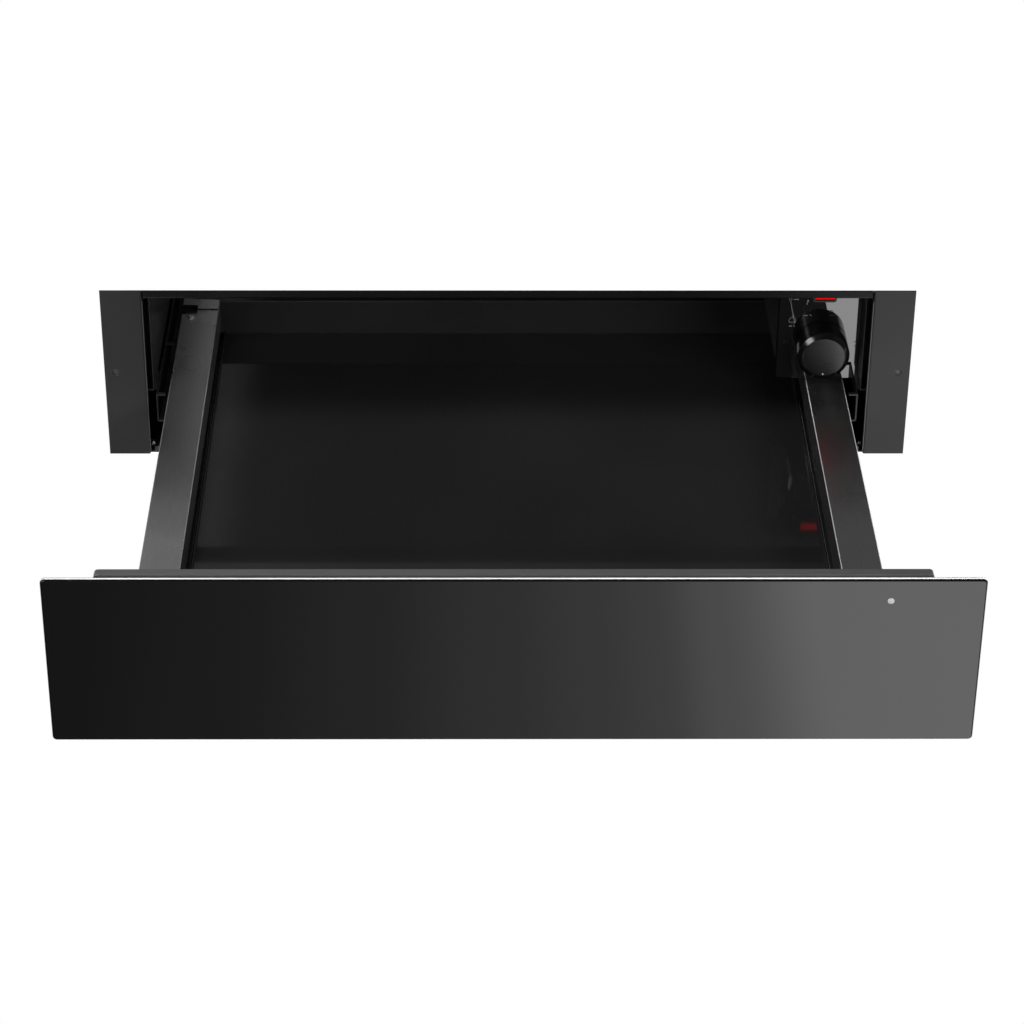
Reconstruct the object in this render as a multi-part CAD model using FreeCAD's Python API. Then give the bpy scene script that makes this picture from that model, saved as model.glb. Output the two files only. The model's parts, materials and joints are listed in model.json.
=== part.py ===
"""Built-in warming drawer for a 60 cm housing unit, drawn with the drawer open.

Sizes are in mm. X runs to the right, Y runs back into the cabinet and Z up. Everything is
drawn from the front plane of the two fixing flanges, at the height of the underside, and
put() then moves the origin to the middle of the underside.
"""
import FreeCAD, Part
import math
import os

V = FreeCAD.Vector

# Glass front
front_width = 595.0
front_height = 124.0
front_lift = 3.0
front_corner = 3.0
glass_thickness = 4.0
glass_chamfer = 1.1
open_reach = 360.0
shut_gap = 1.5

# Housing
frame_inset = 0.5
frame_height = 138.0
flange_width = 30.4
flange_sheet = 1.2
flange_return = 6.0
fixing_hole_inset = 8.5
fixing_hole_height = 70.0
fixing_hole_radius = 2.1
fixing_sink_radius = 3.0
fixing_sink_depth = 0.6
body_inset = 18.0
body_depth = 547.0
sheet = 1.0
thin_sheet = 0.8
bend = 0.6
top_rail_height = 6.4
top_rail_lip = 12.0
seam = 1.0

# Inner side walls of the cavity
liner_inset = 4.6
liner_start = 7.0
liner_foot = 50.6
liner_drop = 6.6
liner_rear_gap = 6.0

# Drawer box, whose top edges are the steel side rails
rail_gap = 10.3
rail_width = 28.0
rail_top = 48.0
rail_sheet = 0.9
rail_lip = 3.5
rear_room = 41.5
step_one = 1.5
step_one_height = 37.0
step_two = 1.4
step_two_height = 34.0
pan_bottom = 14.2
base_top = 20.2
base_glass_thickness = 4.0
base_rear_corner = 9.0

# Steel carrier behind the glass
carrier_margin = 33.0
carrier_foot = 6.0
carrier_drop = 11.0
carrier_corner = 3.0
tape = 0.5
carrier_depth = 6.5

# Indicator lens in the glass
lens_inset = 24.7
lens_drop = 28.0
lens_radius = 2.2
lens_collar = 4.0

# Telescopic slides, from the back of the outer member towards the drawer
slide_inset = 2.1
slide_middle_height = 29.5
slide_half_height = 16.0
slide_thickness = 12.3
slide_start = 6.0
slide_rear_gap = 50.0
member_shorter = 10.0
member_flange = 2.0
member_web = 1.2
outer_race = (5.0, 13.2)
inner_race = (8.9, 9.6)
ball_radius = 1.55
race_radius = 1.6
cage_sheet = 0.8
cage_length = 260.0
balls_per_strip = 2

# Control panel, knob and switch
panel_front = 26.5
panel_width = 60.2
panel_side_gap = 0.3
panel_foot = 50.4
panel_depth = 12.5
panel_wall = 2.2
panel_fold_top = 6.5
panel_fold_foot = 12.0
panel_fold_depth = 1.6
knob_inset = 28.5
knob_z = 79.7
knob_radius = 19.25
knob_face_radius = 15.9
knob_length = 20.9
knob_chamfer = 2.4
knob_gap = 0.4
spindle_radius = 3.0
running_gap = 0.05
switch_inset = 28.1
switch_drop = 8.7
switch_width = 18.0
switch_height = 15.0
switch_proud = 2.0
rocker_width = 14.0
rocker_radius = 5.5
rocker_pivot = 1.0

# Control box behind the panel
box_length = 143.0

# Rear fan heater
fan_size = 80.0
fan_depth = 25.0
fan_drop = 50.0
fan_bore = 38.0
fan_tip = 36.8
fan_hub = 16.0
blade_count = 5
heater_ring = 33.0
heater_tube = 3.25
baffle_room = 46.0

# Push latch
latch_height = 30.0
latch_half = 13.0
latch_length = 33.5
plunger_radius = 4.0
plunger_reach = 1.3

# Values that follow from the sizes above
front_y = -open_reach
glass_back = front_y + glass_thickness
travel = open_reach - glass_thickness - shut_gap
frame_half = front_width / 2 - frame_inset
body_half = frame_half - body_inset
flange_inner = frame_half - flange_width
liner_half = flange_inner - liner_inset
cover_under = frame_height - sheet
liner_top = frame_height - liner_drop
rear_inner = body_depth - sheet
liner_end = rear_inner - liner_rear_gap
rail_outer = liner_half - rail_gap
rail_inner = rail_outer - rail_width
rail_back = rear_inner - rear_room - travel
carrier_half = front_width / 2 - carrier_margin
carrier_top = frame_height - carrier_drop
carrier_front = glass_back + tape
carrier_web_back = carrier_front + sheet
carrier_back = carrier_front + carrier_depth
lens_x = liner_half - lens_inset
lens_z = frame_height - lens_drop
leg_inner = rail_inner - step_one - step_two
glass_bottom = base_top - base_glass_thickness
slide_back = rail_outer - slide_inset
slide_end = rear_inner - slide_rear_gap
slide_length = slide_end - slide_start
member_length = slide_length - member_shorter
spacer_web = slide_back - slide_thickness
middle_start = slide_start + 3.25 - travel / 2
inner_start = slide_start + 3.5 - travel
panel_right = liner_half - panel_side_gap
panel_left = panel_right - panel_width
knob_x = liner_half - knob_inset
knob_front = panel_front - knob_gap - knob_length
switch_x = liner_half - switch_inset
switch_z = liner_top - switch_drop
box_front = panel_front + panel_depth
box_back = box_front + box_length
fan_front = rear_inner - fan_depth
fan_height = frame_height - fan_drop
baffle_front = rear_inner - baffle_room
latch_back = rear_inner - 4
latch_front = latch_back - latch_length
plunger_tip = latch_front - plunger_reach

os.makedirs("parts", exist_ok=True)


def place(axis, u, v, w):
    """A point from two in-plane values and its place along the axis."""
    return {"x": V(w, u, v), "y": V(u, w, v), "z": V(u, v, w)}[axis]


def block(x0, x1, y0, y1, z0, z1):
    return Part.makeBox(x1 - x0, y1 - y0, z1 - z0, V(x0, y0, z0))


def rod(radius, start, end):
    a, b = V(*start), V(*end)
    return Part.makeCylinder(radius, (b - a).Length, a, b - a)


def extrude(wire, axis, depth):
    return Part.Face(wire).extrude(place(axis, 0, 0, depth))


def prism(points, axis, start, end):
    """A straight-sided profile drawn along an axis."""
    corners = [place(axis, u, v, start) for u, v in points]
    return extrude(Part.makePolygon(corners + corners[:1]), axis, end - start)


def rounded(u0, u1, v0, v1, radius, axis, start, end):
    """A plate with four rounded corners."""
    k = radius * (1 - math.sqrt(0.5))
    runs = [
        ((u0 + radius, v0), (u1 - radius, v0), (u1 - k, v0 + k)),
        ((u1, v0 + radius), (u1, v1 - radius), (u1 - k, v1 - k)),
        ((u1 - radius, v1), (u0 + radius, v1), (u0 + k, v1 - k)),
        ((u0, v1 - radius), (u0, v0 + radius), (u0 + k, v0 + k)),
    ]
    edges = []
    for i, (a, b, mid) in enumerate(runs):
        after = runs[(i + 1) % 4][0]
        edges.append(Part.makeLine(place(axis, *a, start), place(axis, *b, start)))
        arc = Part.Arc(place(axis, *b, start), place(axis, *mid, start), place(axis, *after, start))
        edges.append(arc.toShape())
    return extrude(Part.Wire(edges), axis, end - start)


def folded(points, thickness, radius, axis, start, end):
    """Bent sheet drawn along an axis. The sheet lies to the right of the path."""
    path = [V(u, v, 0) for u, v in points]
    near, far = [], []
    along = [(b - a).normalize() for a, b in zip(path, path[1:])]
    near_at = path[0]
    far_at = path[0] + V(along[0].y, -along[0].x, 0) * thickness

    def seat(p):
        return place(axis, p.x, p.y, start)

    for corner, before, after in zip(path[1:-1], along, along[1:]):
        left = before.cross(after).z > 0
        side = V(-before.y, before.x, 0) if left else V(before.y, -before.x, 0)
        near_radius = radius if left else radius + thickness
        far_radius = radius + thickness if left else radius
        reach = near_radius * math.tan(before.getAngle(after) / 2)
        into, out = corner - before * reach, corner + after * reach
        centre = into + side * near_radius
        outward = (corner - centre).normalize()
        for edges, at, r in ((near, near_at, near_radius), (far, far_at, far_radius)):
            a = centre + (into - centre).normalize() * r
            b = centre + (out - centre).normalize() * r
            if (a - at).Length > 1e-6:
                edges.append(Part.makeLine(seat(at), seat(a)))
            edges.append(Part.Arc(seat(a), seat(centre + outward * r), seat(b)).toShape())
            if edges is near:
                near_at = b
            else:
                far_at = b
    last = path[-1] + V(along[-1].y, -along[-1].x, 0) * thickness
    near.append(Part.makeLine(seat(near_at), seat(path[-1])))
    far.append(Part.makeLine(seat(far_at), seat(last)))
    caps = [
        Part.makeLine(seat(path[0]), seat(path[0] + V(along[0].y, -along[0].x, 0) * thickness)),
        Part.makeLine(seat(path[-1]), seat(last)),
    ]
    wire = Part.Wire(Part.__sortEdges__(near + far + caps))
    return extrude(wire, axis, end - start)


def slot(u, v, length, width, axis, start, end, upright=False):
    """A round-ended slot, used as a cutter."""
    half, r = length / 2, width / 2
    if upright:
        return rounded(u - r, u + r, v - half, v + half, r * 0.999, axis, start, end)
    return rounded(u - half, u + half, v - r, v + r, r * 0.999, axis, start, end)


def bead(x, y0, y1, z, rise, half, wall):
    """A pressed stiffening bead along Y: the metal to add and the hollow under it."""
    radius = (half ** 2 + rise ** 2) / (2 * rise)
    centre = z + rise - radius
    above = block(x - half, x + half, y0, y1, z, z + rise)
    ridge = rod(radius, (x, y0, centre), (x, y1, centre)).common(above)
    hollow = rod(radius - wall, (x, y0 + wall, centre), (x, y1 - wall, centre))
    return ridge, hollow.common(block(x - half, x + half, y0, y1, z - wall - 0.1, z + rise))


def with_beads(plate, places, y0, y1, z_top, rise, half):
    for x in places:
        ridge, hollow = bead(x, y0, y1, z_top, rise, half, sheet)
        plate = plate.fuse(ridge).cut(hollow)
    return plate


def cut_all(shape, cutters):
    return shape.cut(Part.makeCompound(list(cutters)))


def flip(shape):
    """The same piece on the other side."""
    return shape.mirror(V(0, 0, 0), V(1, 0, 0))


def put(name, shape, merge=True):
    """Write one node. A list becomes a group of solids; merge joins faces that run on."""
    if isinstance(shape, list):
        shape = Part.makeCompound(shape)
    elif merge:
        shape = shape.removeSplitter()
    shape = shape.copy()
    shape.translate(V(0, -body_depth / 2, 0))
    if not shape.isValid():
        print("not valid:", name)
    shape.exportStep("parts/" + name + ".step")


def put_pair(name, right):
    """A right-hand piece and its mirror image on the left."""
    put("right_" + name, right)
    put("left_" + name, [flip(s) for s in right] if isinstance(right, list) else flip(right))


# Glass front and what it is bonded to


def front_glass():
    pane = rounded(
        -front_width / 2, front_width / 2, front_lift, front_lift + front_height,
        front_corner, "y", front_y, glass_back,
    )
    rim = [e for e in pane.Edges if abs(e.BoundBox.YMax - front_y) < 1e-6 and abs(e.BoundBox.YMin - front_y) < 1e-6]
    pane = pane.makeChamfer(glass_chamfer, rim)
    return pane.cut(rod(lens_radius, (lens_x, front_y - 1, lens_z), (lens_x, glass_back + 1, lens_z)))


def bonding_tape():
    inset, band = 3.0, 12.0
    outer = (carrier_half - inset, carrier_foot + inset, carrier_top - inset)
    ring = block(-outer[0], outer[0], glass_back, carrier_front, outer[1], outer[2])
    hole = block(-outer[0] + band, outer[0] - band, glass_back, carrier_front, outer[1] + band, outer[2] - band)
    return ring.cut(hole).cut(
        rod(lens_radius + 1, (lens_x, glass_back - 1, lens_z), (lens_x, carrier_front + 1, lens_z))
    )


def front_carrier():
    corner = carrier_corner
    pan = rounded(-carrier_half, carrier_half, carrier_foot, carrier_top, corner, "y", carrier_front, carrier_back)
    hollow = rounded(
        -carrier_half + sheet, carrier_half - sheet, carrier_foot + sheet, carrier_top - sheet,
        corner - sheet, "y", carrier_web_back, carrier_back + 1,
    )
    pan = pan.cut(hollow)
    through = (carrier_front - 1, carrier_web_back + 1)
    margin, pitch, window = 27.0, carrier_half / 2, carrier_half * 0.42
    openings = [
        rounded(
            x - window / 2, x + window / 2, carrier_foot + 2 * margin, carrier_top - margin, 8, "y", *through,
        ) for x in (-pitch, 0.0, pitch)
    ]
    openings.append(rod(lens_radius, (lens_x, through[0], lens_z), (lens_x, through[1], lens_z)))
    return cut_all(pan, openings)


def indicator_lens():
    pipe = rod(lens_radius, (lens_x, front_y, lens_z), (lens_x, carrier_back, lens_z))
    collar = rod(lens_collar, (lens_x, carrier_web_back, lens_z), (lens_x, carrier_web_back + 1.2, lens_z))
    return pipe.fuse(collar)


def buffers():
    inset_x, inset_z, radius, height = 12.0, 16.0, 4.0, 1.1
    pads = []
    for x in (-front_width / 2 + inset_x, front_width / 2 - inset_x):
        for z in (front_lift + inset_z, front_lift + front_height - inset_z):
            pads.append(rod(radius, (x, glass_back, z), (x, glass_back + height, z)))
    return pads


# Drawer box


def rail_path():
    """The side rail's section from its foot, up the stepped wall, over the top to the lip."""
    wall = rail_inner - step_one
    return [
        (leg_inner, pan_bottom),
        (leg_inner, step_two_height - step_two),
        (wall, step_two_height),
        (wall, step_one_height - step_one),
        (rail_inner, step_one_height),
        (rail_inner, rail_top),
        (rail_outer, rail_top),
        (rail_outer, rail_top - rail_lip),
    ]


notch_inner = rail_outer - 11.7
notch_front = rail_back - 20.0
notch_back = rail_back - 7.0
hook_screw = (rail_outer - 7.7, rail_back - 26.5)
hook_screw_radius = 3.0
hook_screw_height = 1.9
hook_shank = 2.0
hook_shank_length = 1.7
rail_front = carrier_web_back + 1.6


def rail():
    profile = folded(rail_path(), rail_sheet, 0.3, "y", rail_front, rail_back)
    notch = block(notch_inner, rail_outer + 1, notch_front, rail_back + 1, rail_top - rail_lip - 1, rail_top + 1)
    x, y = hook_screw
    hole = rod(hook_shank, (x, y, rail_top - 2), (x, y, rail_top + 1))
    return profile.cut(notch).cut(hole)


spacer_foot = 15.2
spacer_top = rail_top - rail_sheet


def slide_spacer():
    """The channel that carries the slide's inner member and stiffens the rail."""
    side = rail_inner + rail_sheet
    web = spacer_web
    lower = leg_inner + rail_sheet
    path = [(side + 0.6, spacer_top), (web, spacer_top), (web, spacer_foot), (lower, spacer_foot)]
    return folded(path, sheet, bend, "y", rail_front + 2, rail_back)


def front_bracket():
    """The angle that screws the rail's channel to the carrier."""
    foot_outer, leg_back = rail_outer - 1.4, 46.0
    height = (pan_bottom + 6, rail_top - 6)
    leg_x = spacer_web - sheet
    path = [
        (leg_x, carrier_web_back + leg_back),
        (leg_x, carrier_web_back),
        (foot_outer - 34, carrier_web_back),
    ]
    return folded(path, 1.5, 0.5, "z", *height)


def drawer_screws():
    """Bracket screws behind the glass and the two hooking screws on the rails."""
    heads = []
    for side in (-1, 1):
        for z in (pan_bottom + 12, rail_top - 12):
            x = side * (leg_inner + 8.0)
            heads.append(screw_head((x, carrier_web_back + 1.5, z), (0, 1, 0), 3.0, 2.0))
        x, y = side * hook_screw[0], hook_screw[1]
        head = screw_head((x, y, rail_top), (0, 0, 1), hook_screw_radius, hook_screw_height)
        heads.append(head.fuse(rod(hook_shank, (x, y, rail_top - hook_shank_length), (x, y, rail_top))))
    return heads


def screw_head(base, direction, radius, height):
    """A raised head that narrows towards its top."""
    return Part.makeCone(radius, radius * 0.7, height, V(*base), V(*direction))


def base_pan():
    rise = 7.0
    path = [
        (leg_inner, pan_bottom + rise), (leg_inner, pan_bottom),
        (-leg_inner, pan_bottom), (-leg_inner, pan_bottom + rise),
    ]
    tray = folded(path, sheet, bend, "y", rail_front, rail_back)
    pitch = leg_inner / 3
    vents = [
        slot(x, y, 46.0, 6.0, "z", pan_bottom - 1, pan_bottom + sheet + 0.5)
        for x in (-2 * pitch, -pitch, 0.0, pitch, 2 * pitch) for y in (rail_back - 170, rail_back - 150)
    ]
    return cut_all(tray, vents)


def base_plate(x_half, y0, y1, z0, z1, rear_radius):
    """A plate whose two rear corners are rounded."""
    plate = block(-x_half, x_half, y0, y1, z0, z1)
    rear = [e for e in plate.Edges if abs(e.BoundBox.YMin - y1) < 1e-6 and e.BoundBox.ZLength > (z1 - z0) / 2]
    return plate.makeFillet(rear_radius, rear)


glass_side_gap = 0.6
gasket_band = 9.0


def base_glass():
    half = leg_inner - sheet - glass_side_gap
    return base_plate(half, rail_front + 1, rail_back - 1.2, glass_bottom, base_top, base_rear_corner)


def base_gasket():
    half = leg_inner - sheet - glass_side_gap - 1.5
    y0, y1 = rail_front + 2.5, rail_back - 2.7
    z0 = pan_bottom + sheet
    ring = base_plate(half, y0, y1, z0, glass_bottom, base_rear_corner)
    hole = base_plate(half - gasket_band, y0 + gasket_band, y1 - gasket_band, z0, glass_bottom, 2.0)
    return ring.cut(hole)


back_wall_half = spacer_web - 0.5
ear_front = rail_back - 12.8
rear_fold = 4.0


def back_wall():
    top = rail_top + rail_sheet
    path = [(rail_back + rear_fold, top), (rail_back, top), (rail_back, pan_bottom)]
    points = [(u, v) for u, v in reversed(path)]
    wall = folded(points, rail_sheet, 0.4, "x", -back_wall_half, back_wall_half)
    ears = []
    for side in (-1, 1):
        xs = sorted((side * (rail_inner + 0.3), side * rail_outer))
        ears.append(block(xs[0], xs[1], ear_front, rail_back + rear_fold, rail_top, top))
        xn = sorted((side * notch_inner, side * (rail_outer + 1)))
        ears[-1] = ears[-1].cut(block(xn[0], xn[1], ear_front - 1, notch_back, rail_top - 1, top + 1))
    return wall.multiFuse(ears)


striker_thickness = 1.2


def striker_plate():
    back = rail_back + rail_sheet
    half = latch_half + 1
    return rounded(-half, half, latch_height - 9, latch_height + 9, 2.0, "y", back, back + striker_thickness)


# Telescopic slides


def slide_x(u):
    return slide_back - u


def slide_channel(u0, u1, half, flange, web_at_start, y0, y1, web=member_web):
    """One slide member: a channel with its web at one side and two ball races to be cut."""
    z = slide_middle_height
    outer = block(slide_x(u1), slide_x(u0), y0, y1, z - half, z + half)
    if web_at_start:
        inside = block(slide_x(u1) - 1, slide_x(u0 + web), y0 - 1, y1 + 1, z - half + flange, z + half - flange)
    else:
        inside = block(slide_x(u1 - web), slide_x(u0) + 1, y0 - 1, y1 + 1, z - half + flange, z + half - flange)
    return outer.cut(inside)


def races(race, y0, y1):
    u, w = race
    z = slide_middle_height
    return [rod(race_radius, (slide_x(u), y0 - 1, z + s * w), (slide_x(u), y1 + 1, z + s * w)) for s in (-1, 1)]


outer_flange_reach = 9.8
middle_web_start = 2.0
middle_flange_end = 11.5
inner_flange_start = 6.6
middle_half = 12.4
inner_half = 8.8
inner_flange = 1.8
rivet_places = (slide_start + 30, (slide_start + slide_end) / 2, slide_end - 30)
rivet_drop = 9.5
rivet_radius = 2.0


def rivet_z():
    return slide_middle_height - rivet_drop


def outer_member():
    y0, y1 = slide_start, slide_end
    shape = slide_channel(0, outer_flange_reach, slide_half_height, member_flange, True, y0, y1)
    z = slide_middle_height
    stop = block(slide_x(6.0), slide_x(member_web), y1 - 2, y1, z - 6, z + 6)
    holes = [
        rod(rivet_radius, (slide_x(2), y, rivet_z()), (slide_x(-1), y, rivet_z())) for y in rivet_places
    ]
    return cut_all(shape.fuse(stop), races(outer_race, y0, y1) + holes)


def middle_member():
    y0, y1 = middle_start, middle_start + member_length
    shape = slide_channel(middle_web_start, middle_flange_end, middle_half, member_flange, True, y0, y1)
    z = slide_middle_height
    windows = [
        slot(y0 + t * member_length, z, 30.0, 9.0, "x", slide_x(4), slide_x(1)) for t in (0.12, 0.88)
    ]
    return cut_all(shape, races(outer_race, y0, y1) + races(inner_race, y0, y1) + windows)


def inner_member():
    y0, y1 = inner_start, inner_start + member_length
    shape = slide_channel(
        inner_flange_start, slide_thickness, inner_half, inner_flange, False, y0, y1
    )
    z = slide_middle_height
    windows = [
        slot(y0 + t * member_length, z, 14.0, 5.0, "x", slide_x(13), slide_x(10)) for t in (0.08, 0.92)
    ]
    return cut_all(shape, races(inner_race, y0, y1) + windows)


def ball_cage(race, u0, u1, y0):
    """The strips with pockets and their balls, for both slides."""
    u, w = race
    pieces = []
    pitch = cage_length / balls_per_strip
    for s in (-1, 1):
        z = slide_middle_height + s * w
        strip = block(slide_x(u1), slide_x(u0), y0, y0 + cage_length, z - cage_sheet / 2, z + cage_sheet / 2)
        places = [y0 + pitch * (i + 0.5) for i in range(balls_per_strip)]
        pockets = [
            block(
                slide_x(u) - race_radius, slide_x(u) + race_radius, y - race_radius, y + race_radius, z - 1, z + 1,
            ) for y in places
        ]
        pieces.append(cut_all(strip, pockets))
        pieces += [Part.makeSphere(ball_radius, V(slide_x(u), y, z)) for y in places]
    return pieces + [flip(p) for p in pieces]


# The cages move a quarter and three quarters of the drawer's travel
outer_cage_start = slide_start + 34
inner_cage_start = inner_start + 195
web_x = slide_back + 10.8
bracket_sheet = 1.2
bracket_start = 2.0
bracket_top = 50.2
bracket_shelf = 27.0
bracket_foot = 13.5
tab_inner = rail_outer + 1.8
tab_places = (2.0, 78.0)
tab_depth = 3.0


def runner_bracket():
    """The long Z-shaped bracket between the housing side and the slide."""
    path = [
        (web_x, bracket_top), (web_x, bracket_shelf),
        (slide_back + bracket_sheet, bracket_shelf), (slide_back + bracket_sheet, bracket_foot),
    ]
    shape = folded(path, bracket_sheet, 0.4, "y", bracket_start, slide_end + 2)
    tabs = [
        block(tab_inner, web_x, y, y + tab_depth, bracket_top - bracket_sheet, bracket_top) for y in tab_places
    ]
    z = rivet_z()
    holes = [rod(rivet_radius, (slide_back - 1, y, z), (slide_back + 3, y, z)) for y in rivet_places]
    return cut_all(shape.multiFuse(tabs), holes)


def slide_rivets():
    pieces = []
    z = rivet_z()
    for y in rivet_places:
        shank = rod(rivet_radius, (slide_back - member_web, y, z), (slide_back + bracket_sheet, y, z))
        head = screw_head((slide_back + bracket_sheet, y, z), (1, 0, 0), 3.4, 1.2)
        pieces.append(shank.fuse(head))
    return pieces + [flip(p) for p in pieces]


support_places = tuple(y + 8 for y in rivet_places)
support_width = 16.0


def runner_supports():
    """Z-shaped spacers from the housing side to the runner brackets."""
    inner = body_half - sheet - bracket_sheet
    pieces = []
    for y in support_places:
        path = [
            (web_x, y + support_width), (web_x, y),
            (inner, y), (inner, y - support_width),
        ]
        pieces.append(folded(path[::-1], bracket_sheet, 0.4, "z", bracket_shelf + 3, bracket_top - 4))
    return pieces + [flip(p) for p in pieces]


# Housing


def base_tray():
    rise, fold_half, fold_height = 12.0, liner_half + 1.5, 5.0
    half = body_half - sheet
    y0, y1 = flange_sheet + sheet, rear_inner - sheet
    path = [(half, rise), (half, 0), (-half, 0), (-half, rise)]
    tray = folded(path, sheet, bend, "y", y0, y1)
    for x in (-half, half - sheet):
        for y in (y0, y1 - sheet):
            tray = tray.cut(block(x - 1, x + sheet + 1, y - 0.1, y + sheet + 0.1, -1, rise + 1))
    tray = tray.fuse(block(-fold_half, fold_half, y0, y0 + flange_sheet, 0, fold_height))
    tray = with_beads(tray, (-0.7 * half, -0.4 * half, 0.4 * half, 0.7 * half), 50.0, body_depth - 60, sheet, 1.8, 6.0)
    vents = [
        slot(x, y, 40.0, 5.0, "z", -1, sheet + 1)
        for x in (-30.0, 30.0) for y in (body_depth - 112, body_depth - 92)
    ]
    return cut_all(tray, vents)


def side_panel():
    """Right housing side with folds at the front, back and top, and cooling slots."""
    fold = 10.6
    path = [
        (body_half - fold, flange_sheet), (body_half, flange_sheet),
        (body_half, rear_inner), (body_half - fold, rear_inner),
    ]
    shape = folded(path[::-1], sheet, bend, "z", 0, cover_under)
    top_fold = block(
        body_half - sheet - fold, body_half - sheet / 2, flange_sheet + 8, rear_inner - 8,
        cover_under - sheet, cover_under,
    )
    vents = [
        slot(y, z, 34.0, 5.0, "x", body_half - 2, body_half + 1)
        for y in (body_depth - 100, body_depth - 50) for z in (fan_height, fan_height + 12, fan_height + 24)
    ]
    return cut_all(shape.fuse(top_fold), vents)


def fixing_flange():
    path = [(flange_inner, flange_return), (flange_inner, 0), (frame_half, 0)]
    plate = folded(path[::-1], flange_sheet, 0.4, "z", 0, frame_height)
    x, z = frame_half - fixing_hole_inset, fixing_hole_height
    hole = rod(fixing_hole_radius, (x, -1, z), (x, 3, z))
    sink = Part.makeCone(
        fixing_sink_radius, fixing_hole_radius, fixing_sink_depth, V(x, 0, z), V(0, 1, 0)
    )
    trims = [
        block(flange_inner - 1, flange_inner + 4, flange_sheet, flange_return + 1, *span)
        for span in ((-1, sheet), (cover_under, frame_height + 1))
    ]
    return cut_all(plate, [hole, sink] + trims)


def top_front_rail():
    half = flange_inner - seam
    foot = frame_height - top_rail_height
    path = [(0, frame_height), (0, foot), (top_rail_lip, foot)]
    return folded(path[::-1], flange_sheet, 0.4, "x", -half, half)


def top_cover():
    y0 = flange_sheet
    cover = block(-body_half, body_half, y0, rear_inner, cover_under, frame_height)
    fold = block(-liner_half + 4, liner_half - 4, y0, y0 + sheet, cover_under - 3.6, cover_under)
    cover = cover.fuse(fold)
    grooves = []
    for x in (-0.66 * body_half, -0.33 * body_half, 0.0, 0.33 * body_half, 0.66 * body_half):
        grooves.append(rounded(x - 5, x + 5, 60.0, body_depth - 167, 4.9, "z", frame_height - 0.4, frame_height + 1))
    vents = [
        slot(x, y, 42.0, 6.0, "z", cover_under - 1, frame_height + 1)
        for x in (-150.0, -90.0, 90.0, 150.0) for y in (body_depth - 117, body_depth - 97)
    ]
    return cut_all(cover, grooves + vents)


def fan_grille(thickness_start, thickness_end):
    """Slots that fill a circle in front of the fan."""
    radius, pitch, width = 34.0, 11.0, 5.5
    cutters = []
    for row in range(-2, 3):
        z = row * pitch
        half = math.sqrt(radius ** 2 - z ** 2)
        gap = 3.0
        for side in (-1, 1):
            if half - gap < 2 * width:
                continue
            x = side * (half + gap) / 2
            cutters.append(slot(x, fan_height + z, half - gap, width, "y", thickness_start, thickness_end))
    return cutters


gland_x = 65.0 - body_half
gland_z = 34.0
gland_radius = 8.0


def rear_panel():
    panel = rounded(-body_half, body_half, 0, frame_height, 2.0, "y", rear_inner, body_depth)
    cutters = fan_grille(rear_inner - 1, body_depth + 1)
    for side in (-1, 1):
        for column in range(3):
            x = side * (110.0 + 20.0 * column)
            cutters.append(slot(x, fan_height, 46.0, 6.0, "y", rear_inner - 1, body_depth + 1, upright=True))
    cutters.append(rod(gland_radius, (gland_x, rear_inner - 1, gland_z), (gland_x, body_depth + 1, gland_z)))
    return cut_all(panel, cutters)


def cable_gland():
    """Strain relief bush with a hexagon nut inside; no cord is shown."""
    bore, collar, thick = 4.2, 11.5, 4.0
    x, z = gland_x, gland_z
    y = body_depth
    bush = rod(gland_radius, (x, rear_inner - 5, z), (x, y, z)).fuse(rod(collar, (x, y, z), (x, y + thick, z)))
    dome = Part.makeCone(collar, gland_radius - 1, 5.0, V(x, y + thick, z), V(0, 1, 0))
    points = [(x + 12 * math.cos(math.radians(60 * k)), z + 12 * math.sin(math.radians(60 * k))) for k in range(6)]
    nut = prism(points, "y", rear_inner - 4, rear_inner)
    return bush.fuse(dome).fuse(nut).cut(rod(bore, (x, rear_inner - 9, z), (x, y + 20, z)))


def liner():
    """Inner side wall of the cavity, a channel open towards the housing side."""
    edge = body_half - sheet
    path = [(edge, liner_foot), (liner_half, liner_foot), (liner_half, liner_top), (edge, liner_top)]
    return folded(path, thin_sheet, bend, "y", liner_start, liner_end)


def ceiling_liner():
    plate = block(
        -body_half + 2, body_half - 2, top_rail_lip + 0.2, liner_end,
        liner_top, liner_top + thin_sheet,
    )
    vents = [
        slot(x, baffle_front - 14, 60.0, 6.0, "z", liner_top - 1, liner_top + 2) for x in (-120.0, 120.0)
    ]
    return cut_all(plate, vents)


def insulation():
    """Mineral wool behind the side walls and above the ceiling."""
    slack = 0.7
    front, back = liner_start + 17, body_depth - 130
    side = block(
        liner_half + thin_sheet, body_half - sheet - slack, front, back,
        liner_foot + thin_sheet + slack, liner_top - thin_sheet - slack,
    )
    half = liner_half - 14
    above = block(-half, half, front + 6, back, liner_top + thin_sheet, cover_under - slack)
    return [side, flip(side), above]


def housing_screws():
    """Pan heads on the rear panel, the top cover and the tray's front corners."""
    heads = []
    for x in (-body_half + 7, body_half - 7):
        for z in (22.0, frame_height - 22):
            heads.append(screw_head((x, body_depth, z), (0, 1, 0), 3.4, 2.0))
        for y in (40.0, body_depth / 2, body_depth - 47):
            heads.append(screw_head((x, y, frame_height), (0, 0, 1), 3.4, 2.0))
    for x in (-liner_half - 4.5, liner_half + 4.5):
        heads.append(screw_head((x, 14.0, sheet), (0, 0, 1), 2.8, 2.0))
    return heads


# Controls


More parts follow.
